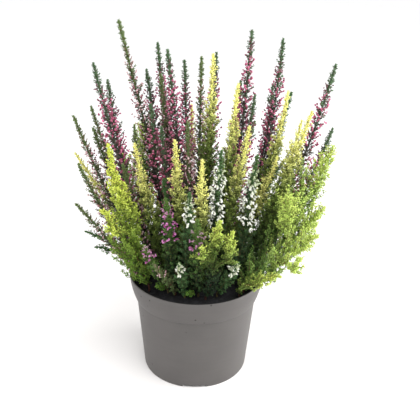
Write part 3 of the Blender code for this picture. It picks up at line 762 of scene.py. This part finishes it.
class Stem:
    """A stem to be covered: its line with the unit vectors along it, how far along it each point is, where
    its twigs start, and how much darker in painted shade it is for ending below the shoot's top."""

    def __init__(self, shoot, top):
        self.shoot, self.growth, self.line = shoot, GROWTH[shoot.kind], shoot.fine
        self.frames = frames_along(self.line)
        steps = np.linalg.norm(np.diff(self.line, axis=0), axis=1)
        self.lengths = np.concatenate([[0], np.cumsum(steps)])
        self.total = self.lengths[-1]
        self.start = FORK_START * self.total if shoot.parent else STEM_START
        # A fork's painted shade: how far its tip ends below the shoot's top
        self.lower = FORK_SHADE * max(top - self.line[-1, 2], 0)

    def at(self, place):
        """The points so far along the stem, and the unit vectors across and along it there."""
        rows = [interpolated(values, self.lengths, place) for values in (self.line, *self.frames)]
        return rows[0], *map(unit, rows[1:])

    def tallness(self, place):
        """1 at the shoot's tip, falling to 0 so many mm below it."""
        return np.clip(1 - (self.total - place + self.lower) / (self.growth.fade * MM), 0, 1)


Twigs = namedtuple("Twigs", "base way side bend length height below")


def on_twigs(twigs, twig, share):
    """Points at a share of the length of some twigs, and the way that these run there. A twig's bend grows
    with the square of the share."""
    way, bend, length = twigs.way[twig], twigs.bend[twig], twigs.length[twig]
    points = twigs.base[twig] + way * (share * length)[:, None] + bend * (share**2)[:, None]
    return points, unit(way * length[:, None] + 2 * bend * share[:, None])


def places_along(limits, longest, step, first, spread, random):
    """Places every step along twigs up to their limits, the first one a share of a step from the base and
    each moved by a share of a step. The twig and the number of each, and how far along it is."""
    count = int(longest / step) + 1
    moved = random.uniform(-spread, spread, (len(limits), count)) * step
    place = (np.arange(count)[None] + first) * step + moved
    twig, order = np.nonzero(place < limits[:, None])
    return twig, order, place[twig, order]


def grow(heap, shoot, top, random):
    """Covers one stem with twigs, the twigs with pairs of scale leaves that turn a quarter from pair to pair,
    and the flowering stretch with buds. A fork that ends lower than the shoot's top starts darker, in painted
    shade."""
    stem = Stem(shoot, top)
    growth, line, heights = stem.growth, stem.line[::2], stem.tallness(stem.lengths[::2])
    if not shoot.parent:
        foot = [line[0] - (0, 0, STEM_UPRIGHT + STEM_DEPTH), line[0] - (0, 0, STEM_UPRIGHT / 2)]
        line, heights = np.vstack([foot, line]), np.hstack([heights[:1], heights[:1], heights])
    thickness = FORK_STEM if shoot.parent else MAIN_STEM
    radii = np.linspace(1, STEM_TIP, len(line)) * STEM_RADIUS * thickness
    add_stem(heap, line, radii, heights, random.random())
    twigs = grown_twigs(stem, random)
    count = len(twigs.base)
    heap.add_copies(
        TWIG,
        (twigs.base, twigs.way, twigs.side),
        (twigs.length, np.full(count, TWIG_RADIUS)),
        STEM_SLOT,
        (twigs.height, random.random(count), 0.5),
        twigs.bend,
    )
    low, high = np.array(ZONES.get(shoot.name, growth.zone)) * MM
    flowers = (twigs.below > low) & (twigs.below < high) & (random.random(count) < growth.share)
    add_leaves(heap, growth, twigs, flowers, random)
    if growth.sprig_every and (twigs.length > SPRIG_TWIG).any():
        sprigs = side_sprigs(growth, twigs, random)
        add_leaves(heap, growth, sprigs, np.zeros(len(sprigs.base), bool), random, SPRIG_OUTWARD)
    add_stem_leaves(heap, stem, random)
    if flowers.any():
        add_buds(heap, growth, Twigs(*(values[flowers] for values in twigs)), low, random)


def grown_twigs(stem, random):
    """Twigs that turn by the golden angle up the stem, as long as the shoot's width there allows."""
    growth, total = stem.growth, stem.total
    at = np.arange(stem.start, total - 0.5 * MM, growth.twig_every * MM)
    count = len(at)
    at = at + random.uniform(-PLACE_SPREAD, PLACE_SPREAD, count) * growth.twig_every * MM
    whorl = 2 * np.pi / WHORL
    at = np.clip(at + CROWDING * np.sin(whorl * at) / whorl, stem.start, total - LAST_TWIG)
    below = total - at
    base, first, second, along = stem.at(at)
    turn = np.arange(count) * GOLDEN_ANGLE + random.uniform(-TURN_SPREAD, TURN_SPREAD, count)
    out = swung(turn, first, second)
    deep = np.clip((below - REACH_BELOW) / (REACH_ABOVE - REACH_BELOW), 0, 1)
    young = np.clip(1 - below / TIP_LENGTH, 0, 1)
    lean = growth.twig_angle * (1 - 0.5 * young) + random.uniform(-LEAN_SPREAD, LEAN_SPREAD, count)
    way = unit(swung(np.radians(lean), along, out))
    reach = np.interp(at, stem.lengths, stem.shoot.room) + growth.extra * MM * deep - 0.5 * MM
    favour, least = FAVOURED.get(stem.shoot.kind, ((0, 0, 0), 1))
    reach = reach * np.clip(1 + out @ np.array(favour) * (1 - young), least, None)
    length = np.maximum(reach, LEAST_TWIG) / np.sin(np.radians(lean)) * random.uniform(*TWIG_LENGTHS, count)
    length = np.minimum(length, growth.taper * below + TIP_TWIG)
    bend = (along * 0.6 + (0, 0, 0.8)) * (growth.twig_rise * length)[:, None]
    short = SOIL_TOP + SOIL_SPACE - (base + way * length[:, None] + bend)[:, 2]
    bend[:, 2] += np.maximum(short, 0)
    return Twigs(base, way, across(way, along), bend, length, stem.tallness(at), below)


def side_sprigs(growth, twigs, random):
    """Short sprigs that turn round the longer twigs, bent up a little."""
    limits = np.where(twigs.length > SPRIG_TWIG, SPRIG_REACH * twigs.length, 0)
    step = growth.sprig_every * MM
    twig, order, place = places_along(limits, twigs.length.max(), step, 0.7, 0.3, random)
    share = place / twigs.length[twig]
    base, along = on_twigs(twigs, twig, share)
    side = across(along, twigs.side[twig])
    turn = order * SPRIG_TURN + random.uniform(0, 6.28, len(limits))[twig]
    out = swung(turn, side, np.cross(along, side))
    lean = np.radians(random.uniform(*SPRIG_LEAN, len(twig)))
    direction = unit(swung(lean, along, out) + (0, 0, 0.2))
    length = random.uniform(0.75, 1.25, len(twig)) * np.interp(share, (0.3, 1), (1, 0.6)) * SPRIG
    short = SOIL_TOP + SOIL_SPACE - (base + direction * length[:, None])[:, 2]
    bend = np.outer(0.2 * length + np.maximum(short, 0), (0, 0, 1))
    return Twigs(base, direction, side, bend, length, twigs.height[twig], twigs.below[twig])


def add_leaves(heap, growth, twigs, flowers, random, reached=0.0):
    """Pairs of leaves along the twigs. A twig with buds has leaves on its lower part alone. The leaves of a
    twig are alike in their chance, and their place on it runs from the share reached to 1."""
    leaf_length, leaf_width = np.array(growth.leaf) * MM
    leafy = np.where(flowers, LEAFY_SHARE, 1.0) * twigs.length
    step = growth.leaf_every * MM
    twig, order, place = places_along(leafy, leafy.max(), step, 0.4, 0.2, random)
    share, count = place / twigs.length[twig], len(twig)
    origin, way = on_twigs(twigs, twig, share)
    side = across(way, twigs.side[twig])
    normal = np.cross(way, side)
    quarter = (order % 2 == 0)[:, None]
    spin = random.uniform(-0.5, 0.5, count)[:, None]
    sideways = unit(np.where(quarter, side, normal) + spin * np.where(quarter, normal, side))
    kin = random.random(len(leafy))[twig]
    for hand in (1, -1):
        lean = np.radians(random.uniform(*LEAF_LEAN, count)) * hand
        size = random.uniform(0.85, 1.15, count) * np.interp(share, (0, 0.75, 1), (1, 1, 0.75))
        chance = KINSHIP * kin + (1 - KINSHIP) * random.random(count)
        heap.add_copies(
            LEAF,
            (origin, swung(lean, way, sideways), np.cross(way, sideways)),
            (leaf_length * size, leaf_width / 2 * size),
            LEAF_SLOT,
            (twigs.height[twig], chance, reached + (1 - reached) * share),
        )


def add_stem_leaves(heap, stem, random):
    """Scale leaves on the stem itself, close together at its tip."""
    leaf_length, leaf_width = np.array(stem.growth.leaf) * STEM_LEAF_SIZE * MM
    stretch = stem.total - stem.start
    count = round(stretch / STEM_LEAF_EVERY)
    at = stem.total - stretch * np.linspace(0, 1, count) ** STEM_LEAF_CROWDING
    base, first, second, along = stem.at(at)
    for hand in (0, np.pi):
        out = swung(np.arange(count) * STEM_LEAF_TURN + hand, first, second)
        direction = unit(swung(np.radians(random.uniform(*STEM_LEAF_LEAN, count)), along, out))
        size = random.uniform(0.9, 1.3, count) * np.interp(stem.total - at, (0, 10 * MM), (0.75, 1))
        heap.add_copies(
            LEAF,
            (base + out * LEAF_BASE, direction, across(direction, np.cross(along, out))),
            (leaf_length * size, leaf_width / 2 * size),
            LEAF_SLOT,
            (stem.tallness(at), random.random(count), 0.8),
        )


def add_buds(heap, growth, twigs, zone_start, random):
    """Buds or bells on the outer part of the flowering twigs, smaller near the tip and nodding outwards."""
    shape = BELL if growth.bud[0] > 4 else BUD if growth.bud[0] > 3 else SMALL_BUD
    bud_length, bud_width = np.array(growth.bud) * MM
    into_zone, count = twigs.below - zone_start, len(twigs.base)
    grown = np.interp(into_zone, (0, YOUNG_LENGTH), (YOUNG_SIZE, 1.0))
    for order in range(growth.buds):
        share = 1.0 - BUD_STEP * order + random.uniform(-0.08, 0.08, count)
        direction = unit(twigs.way * 0.7 + random.normal(0, 0.5, (count, 3)) - (0, 0, growth.nod))
        size = random.uniform(0.75, 1.12, count) * grown
        start = on_twigs(twigs, slice(None), share)[0] - direction * (0.35 * bud_length * size)[:, None]
        start = start + across(twigs.way, random.normal(0, 1, (count, 3))) * (0.4 * bud_width)
        heap.add_copies(
            shape,
            (start, direction, across(direction, twigs.side)),
            (bud_length * size, bud_width / 2 * size),
            BUD_SLOT,
            (np.clip(into_zone / BUD_LENGTH, 0, 1), random.random(count), share),
        )


def leaf_finish(kind):
    """Leaves from dark in the bush to bright at the tips, each a little different, and paler outwards: partly
    their own colour, partly painted shade towards the stem and each leaf's base, with painted light at the
    tips.
    """
    low, middle, tip = LEAVES[kind]
    finish = Finish(f"{kind}_leaf", 0.55)
    height, chance, along, outward = finish.growth()
    # The colour turns from low to middle and then to the tip colour with the height and the place along the
    # twig: partly the leaves' own colour, partly painted shade deep in the bush and near the stem
    colour = finish.mixed((height + outward * 0.20 - 0.05).rise(0.05, 0.60), low, middle)
    top = (height + outward * 0.25 + chance * 0.16 - 0.24).rise(0.45, 0.88)
    colour = finish.mixed(top, colour, tip)
    # Painted shade and painted light: leaves are darker towards the base of each leaf and of each twig, and
    # brighter and less varied near the shoot's tip
    shade = 0.30 + chance * 0.50 + along * 0.20 + outward * 0.66
    shade = shade + (1.1 - shade) * height.rise(0.65, 0.97) * 0.75
    inputs = {"Hue": 0.485 + chance * 0.03, "Value": shade, "Color": colour}
    finish.feed("Base Color", finish.node("ShaderNodeHueSaturation", (), inputs).outputs[0])
    finish.feed("Roughness", 0.42 + finish.noise(900) * 0.3)
    finish.feed("Specular IOR Level", 0.25)
    return finish.material


def bud_finish(kind):
    """Buds that are green or brown at the base, deep in the middle and light at the point."""
    young, deep, light = BUDS[kind]
    finish = Finish(f"{kind}_bud", 0.5)
    height, chance, along, _ = finish.growth()
    colour = finish.mixed((chance * 0.9 + along * 0.35 - 0.1).rise(0.1, 1.0), deep, light)
    youth = 1 - (height + chance * 0.06 - 0.03).rise(0.02, 0.15)
    colour = finish.mixed(youth * 0.85, colour, young)
    base = 1 - along.rise(0.02, 0.30)
    finish.feed("Base Color", finish.mixed(base * 0.7, colour, LEAVES[kind][1]))
    finish.feed("Roughness", 0.40 + finish.noise(700) * 0.25)
    return finish.material


def stem_finish(kind):
    """Bark that is darker towards the foot and reddish higher up, with a fine grain."""
    colour = STEMS[GROWTH[kind].bark]
    finish = Finish(f"{kind}_stem", 0.7)
    height, *_ = finish.growth()
    grain = finish.noise(1400, 3)
    # Darker towards the foot of the shoot
    shade = finish.mixed(height.rise(0.0, 0.5), tinted(colour, 0.35), colour)
    shade = finish.mixed(grain.rise(0.35, 0.75) * 0.5, shade, tinted(colour, 0.5))
    finish.feed("Base Color", shade)
    finish.feed("Roughness", 0.6 + grain * 0.25)
    finish.bump(grain, 0.4, 0.2 * MM)
    return finish.material


def sway_shoots(shoots):
    """Moves shoots to the right of their packed lines: by half a sine of the height, and by its square."""
    tops = {shoot.name: shoot.fine[-1, 2] for shoot in shoots if not shoot.parent}
    for shoot in shoots:
        middle, tip = SWAY.get(shoot.name, (0, 0))
        height = np.clip((shoot.fine[:, 2] - SOIL_TOP) / (tops[shoot.name] - SOIL_TOP), 0, 1)
        shoot.fine[:, 0] += (middle * np.sin(np.pi * height) + tip * height**2) * MM


SHOOT_LIST = []


def grown_lines():
    """The stems with their final lines, worked out once."""
    if not SHOOT_LIST:
        shoots = all_shoots()
        spread_shoots(shoots)
        measure_room(shoots)
        sway_shoots(shoots)
        SHOOT_LIST.extend(shoots)
    return SHOOT_LIST


def shoot_piece(name, random):
    """A shoot: its main stem, which gives the top, and then its forks."""
    heap = Heap()
    stems = [shoot for shoot in grown_lines() if shoot.name == name]
    for shoot in stems:
        grow(heap, shoot, stems[0].fine[-1, 2], random)
    return heap.piece(f"{name}_shoot")


class HEATHER_OT_shoots(bpy.types.Operator):
    """Grow every shoot of one kind of heather, with its stems, leaves and buds"""

    bl_idname = "heather.shoots"
    bl_label = "Grow shoots"

    kind: EnumProperty(name="Kind", items=[(kind, kind.title(), f"The {kind} heather") for kind in GROWTH])

    def execute(self, context):
        kind, seed = self.kind, context.scene.heather_plant.seed
        bud = bud_finish if kind in BUDS else leaf_finish
        materials = leaf_finish(kind), bud(kind), stem_finish(kind)
        for number, (name, *_) in enumerate(SHOOTS):
            if kind_of(name) == kind:
                piece = shoot_piece(name, np.random.default_rng(1000 * seed + number))
                finish_piece(piece, name, SLOTS.get(kind, f"{kind}_heather"), *materials)
        return {"FINISHED"}


class HEATHER_OT_soil(bpy.types.Operator):
    """Fill the pot with damp, crumbly peat"""

    bl_idname = "heather.soil"
    bl_label = "Make soil"

    def execute(self, context):
        looks = context.scene.heather_plant
        piece = soil_piece(np.random.default_rng(looks.seed), looks.crumbs)
        finish_piece(piece, "soil", "soil", soil_finish(looks.soil_colour))
        return {"FINISHED"}


def soil_level(x, y):
    """The packed soil's low waves, with a ripple of clods and crumbs as sums of sines in many directions."""
    level = SOIL_BUMP * (np.sin(150 * x + 1) * np.cos(130 * y) + 0.6 * np.sin(290 * y))
    random = np.random.default_rng(11)
    for frequency, height in CLODS:
        for _ in range(CLOD_SINES):
            turn, shift = random.uniform(0, 2 * np.pi, 2)
            along = x * np.cos(turn) + y * np.sin(turn)
            level = level + height * np.sin(frequency * along + shift) / 2
    return level


def soil_piece(random, crumbs):
    """The soil: a turned block whose top follows the soil level, with crumbs as small uneven lumps on it."""
    edge = SOIL_TOP - SOIL_EDGE_DROP
    radii = np.linspace(AXIS_GAP, inner_wall(np.array([edge]))[0, 0] - GAP, SOIL_RINGS)
    fall = SOIL_TOP - SOIL_EDGE_DROP * np.clip((radii / radii[-1] - SOIL_FLAT) / (1 - SOIL_FLAT), 0, 1)
    wall = inner_wall(np.array([edge - 3 * MM, STEP_HEIGHT, FLOOR_TOP + GAP])) - (GAP, 0)
    profile = np.vstack([np.stack([radii, fall], 1), wall, [(AXIS_GAP, wall[-1, 1])]])
    corners, quads, ends = turned_surface(profile[::-1], SOIL_SIDES)
    surface = corners[:, 2] > edge - MM
    corners[surface, 2] += soil_level(corners[surface, 0], corners[surface, 1])
    heap = Heap()
    heap.add(corners, np.vstack([halved(quads), ends]), 0, np.zeros((len(corners), 4)))
    angle, radius = random.uniform(0, 2 * np.pi, crumbs), np.sqrt(random.random(crumbs)) * radii[-1] * 0.98
    x, y = radius * np.cos(angle), radius * np.sin(angle)
    size = random.gamma(2.0, 0.30, crumbs).clip(0.25, 2.2) * MM
    origin = np.stack([x, y, np.interp(radius, radii, fall) + soil_level(x, y) - 0.2 * size], 1)
    way = unit(random.normal(0, 1, (crumbs, 3)))
    chance = random.random(crumbs)
    heap.add_copies(
        BUD,
        (origin - way * size[:, None] * 0.5, way, across(way, random.normal(0, 1, (crumbs, 3)))),
        (size * 1.3, size * random.uniform(0.4, 0.7, crumbs)),
        0,
        (0.0, chance, 1.0),
    )
    return heap.piece("soil_crumbs")


def soil_finish(colour):
    """Dark damp peat, with paler fibres and dull crumbs."""
    finish = Finish("damp_peat", 0.95)
    _, chance, _, loose = finish.growth()
    fine, coarse = finish.noise(1500, 4, 0.7), finish.noise(260, 3)
    base = finish.mixed(coarse.rise(0.35, 0.7), tinted(colour, 0.6), tinted(colour, 1.7))
    fibres = fine.rise(0.60, 0.74) * 0.55 + loose * chance.rise(0.86, 0.97) * 0.5
    finish.feed("Base Color", finish.mixed(fibres, base, (0.070, 0.048, 0.034)))
    finish.feed("Roughness", 0.75 + fine * 0.25)
    finish.bump(fine + coarse, 0.8, 0.5 * MM)
    return finish.material


class HEATHER_OT_pot(bpy.types.Operator):
    """Turn the plastic pot, with its lip, collar, notched foot and drain holes"""

    bl_idname = "heather.pot"
    bl_label = "Make pot"

    def execute(self, context):
        looks = context.scene.heather_pot
        piece = pot_piece(looks.around)
        cut_openings(piece)
        finish_piece(piece, "pot", "pot_plastic", plastic_finish(looks.colour, looks.roughness))
        return {"FINISHED"}


def pot_piece(around):
    """The pot's wall as one turned profile: floor, inside, half a circle for the lip, collar, step, body and
    foot, whose edges are rounded by a few tenths of a millimetre."""
    heights = np.linspace(STEP_HEIGHT, POT_HEIGHT - LIP_RADIUS, WALL_RINGS)[1:-1]
    body = np.linspace(FLOOR_TOP, STEP_HEIGHT, WALL_RINGS)
    turn = np.linspace(0, np.pi, LIP_RINGS)
    lip = LIP_RADIUS * np.stack([-np.cos(turn), np.sin(turn)], 1)
    lip += (RIM_RADIUS - WALL / 2, POT_HEIGHT - LIP_RADIUS)
    step = [(COLLAR_FOOT_RADIUS + 0.15 * MM, STEP_HEIGHT + 1.6 * STEP_RISE)]
    step += [(COLLAR_FOOT_RADIUS - 0.05 * MM, STEP_HEIGHT + 0.9 * STEP_RISE)]
    step += [(COLLAR_FOOT_RADIUS - 0.5 * MM, STEP_HEIGHT + 0.3 * STEP_RISE), (BODY_TOP_RADIUS, STEP_HEIGHT)]
    foot = [(BASE_RADIUS + 0.03 * MM, 0.5 * MM), (BASE_RADIUS - 0.25 * MM, 0.0)]
    foot += [(BASE_RADIUS - FOOT_WIDTH + 0.25 * MM, 0.0), (BASE_RADIUS - FOOT_WIDTH, 0.4 * MM)]
    foot += [(BASE_RADIUS - FOOT_WIDTH, FLOOR_UNDERSIDE), (0.3 * MM, FLOOR_UNDERSIDE)]
    floor = [(0.3 * MM, FLOOR_TOP), (40 * MM, FLOOR_TOP)]
    outside, collar = outer_wall(body[-2::-1]), outer_wall(heights)[::-1]
    profile = np.vstack([floor, inner_wall(body), inner_wall(heights), lip, collar, step, outside, foot])
    corners, quads, ends = turned_surface(profile, around)
    return set_mesh("pot_moulded", corners, quads.tolist() + ends.tolist())


def cut_openings(piece):
    """Cuts the drain holes through the floor and the notches out of the foot."""
    cutters = bpy.data.collections.new("openings")
    for index in range(DRAIN_HOLES):
        angle = 2 * math.pi * (index + 0.5) / DRAIN_HOLES
        centre = (DRAIN_CIRCLE * math.cos(angle), DRAIN_CIRCLE * math.sin(angle), FLOOR_TOP)
        bpy.ops.mesh.primitive_cylinder_add(vertices=32, radius=DRAIN_RADIUS, depth=10 * MM, location=centre)
        cutters.objects.link(bpy.context.object)
    for index in range(NOTCHES):
        angle = -math.pi / 2 + 2 * math.pi * index / NOTCHES
        place = (BASE_RADIUS * math.cos(angle), BASE_RADIUS * math.sin(angle), 0)
        size = (2 * NOTCH_DEPTH, NOTCH_WIDTH, 2 * NOTCH_HEIGHT)
        bpy.ops.mesh.primitive_cube_add(size=1, location=place, rotation=(0, 0, angle), scale=size)
        cutters.objects.link(bpy.context.object)
    cut = piece.modifiers.new("openings", "BOOLEAN")
    cut.operand_type, cut.collection, cut.solver = "COLLECTION", cutters, "EXACT"
    graph = bpy.context.evaluated_depsgraph_get()
    finished = bpy.data.meshes.new_from_object(piece.evaluated_get(graph))
    piece.modifiers.clear()
    piece.data = finished
    finished.shade_smooth()
    finished.set_sharp_from_angle(angle=SHARP_ANGLE)
    for cutter in list(cutters.objects):
        bpy.data.objects.remove(cutter, do_unlink=True)
    bpy.data.collections.remove(cutters)


def plastic_finish(colour, roughness):
    """Warm grey plastic with a faint mottle, flow lines round the pot and specks of soil."""
    finish = Finish("grey_plastic", roughness)
    place = finish.place()
    cloud = finish.noise(35, 3, 0.55, place)
    grain = finish.noise(2600, 2, 0.5, place)
    squashed = finish.node("ShaderNodeMapping", (), {"Vector": place, "Scale": (1, 1, 14)}).outputs[0]
    flow = finish.noise(28, 2, 0.5, squashed)
    mottle = (cloud * 0.75 + flow * 0.25).rise(0.3, 0.7)
    shade = finish.mixed(mottle, tinted(colour, 0.92), tinted(colour, 1.07))
    dots = finish.node("ShaderNodeTexVoronoi", {"feature": "F1"}, {"Vector": place, "Scale": 120.0})
    chosen = finish.value("ShaderNodeSeparateColor", (), {0: dots.outputs["Color"]})
    near = 1 - Value(finish, dots.outputs["Distance"]).rise(0.07, 0.13)
    up = finish.value("ShaderNodeSeparateXYZ", (), {0: place}, 2).rise(0.03, 0.08)
    specks = near * (chosen + up * 0.25).rise(0.87, 0.88)
    finish.feed("Base Color", finish.mixed(specks, shade, (0.02, 0.018, 0.016)))
    finish.feed("Roughness", roughness - 0.06 + grain * 0.08 + cloud * 0.10 + specks * 0.3)
    finish.bump(grain + specks * 2, 0.25, 0.05 * MM)
    return finish.material


class HEATHER_OT_stage(bpy.types.Operator):
    """Lay the pale floor, and set the soft light and the camera"""

    bl_idname = "heather.stage"
    bl_label = "Set stage"

    def execute(self, context):
        looks = context.scene.heather_stage
        lay_floor(looks.floor_colour)
        light_scene(context.scene)
        place_camera(context.scene, looks)
        return {"FINISHED"}


def lay_floor(colour):
    """A flat square with a faint tint near the pot, painted lighter, up to white, away from it as painted
    light.
    """
    corners = FLOOR_REACH * np.array([(-1, -1, 0), (1, -1, 0), (1, 1, 0), (-1, 1, 0)], float)
    floor = set_mesh("floor", corners, [(0, 1, 2, 3)])
    finish = Finish("pale_floor", 0.75)
    tint = finish.mixed(finish.noise(3).rise(0.3, 0.7), tinted(colour, 0.985), tuple(colour))
    away = finish.value("ShaderNodeVectorMath", {"operation": "LENGTH"}, {0: finish.place()}, 1)
    # Painted light: the floor is painted lighter, up to white, away from the pot
    finish.feed("Base Color", finish.mixed(away.rise(0.3, 0.9), tint, (1, 1, 1)))
    floor.data.materials.append(finish.material)


def soft_lamp(name, place, target, size, watts):
    """A square area lamp that faces a target."""
    lamp = bpy.data.lights.new(name, "AREA")
    lamp.size, lamp.energy = size, watts
    shown = bpy.data.objects.new(name, lamp)
    shown.location = place
    shown.rotation_euler = (Vector(target) - Vector(place)).to_track_quat("-Z", "Y").to_euler()
    bpy.context.scene.collection.objects.link(shown)


def light_scene(scene):
    """White light from all round, and the lamps."""
    world = bpy.data.worlds.new("soft_room")
    world.use_nodes = True
    world.node_tree.nodes["Background"].inputs["Color"].default_value = (1.0, 1.0, 1.0, 1)
    world.node_tree.nodes["Background"].inputs["Strength"].default_value = 1.0
    scene.world = world
    scene.view_settings.view_transform = "Standard"
    for row in LAMPS:
        soft_lamp(*row)


def place_camera(scene, looks):
    """The camera stands in front of the pot and looks a little down."""
    camera = bpy.data.cameras.new("camera")
    camera.sensor_width = 36
    camera.lens = looks.lens / MM
    camera.clip_start, camera.clip_end = 0.01, 30
    shown = bpy.data.objects.new("camera", camera)
    turn = Matrix.Rotation(-looks.yaw, 4, "Z") @ Matrix.Rotation(math.pi / 2 - looks.pitch, 4, "X")
    turn = turn @ Matrix.Rotation(looks.roll, 4, "Z")
    shown.matrix_world = Matrix.Translation((0, -looks.distance, looks.height)) @ turn
    scene.collection.objects.link(shown)
    scene.camera = shown


class HEATHER_PT_panel(bpy.types.Panel):
    """Everything that this script makes, in order"""

    bl_label = "Potted heather"
    bl_idname = "HEATHER_PT_panel"
    bl_space_type = "VIEW_3D"
    bl_region_type = "UI"
    bl_category = "Heather"

    def draw(self, context):
        for group in LOOKS:
            looks = getattr(context.scene, group)
            for name in looks.__annotations__:
                self.layout.prop(looks, name)
        for operator in OPERATORS:
            self.layout.operator(operator.bl_idname)


LOOKS = {"heather_pot": PotLooks, "heather_plant": PlantLooks, "heather_stage": StageLooks}
OPERATORS = HEATHER_OT_pot, HEATHER_OT_soil, HEATHER_OT_shoots, HEATHER_OT_stage
CLASSES = (*LOOKS.values(), *OPERATORS, HEATHER_PT_panel)


def register():
    for kind in CLASSES:
        bpy.utils.register_class(kind)
    for name, looks in LOOKS.items():
        setattr(bpy.types.Scene, name, PointerProperty(type=looks))


def unregister():
    for name in LOOKS:
        delattr(bpy.types.Scene, name)
    for kind in reversed(CLASSES):
        bpy.utils.unregister_class(kind)


def main():
    register()
    bpy.ops.heather.pot()
    bpy.ops.heather.soil()
    for kind in GROWTH:
        bpy.ops.heather.shoots(kind=kind)
    bpy.ops.heather.stage()
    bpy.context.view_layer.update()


if __name__ == "__main__":
    main()
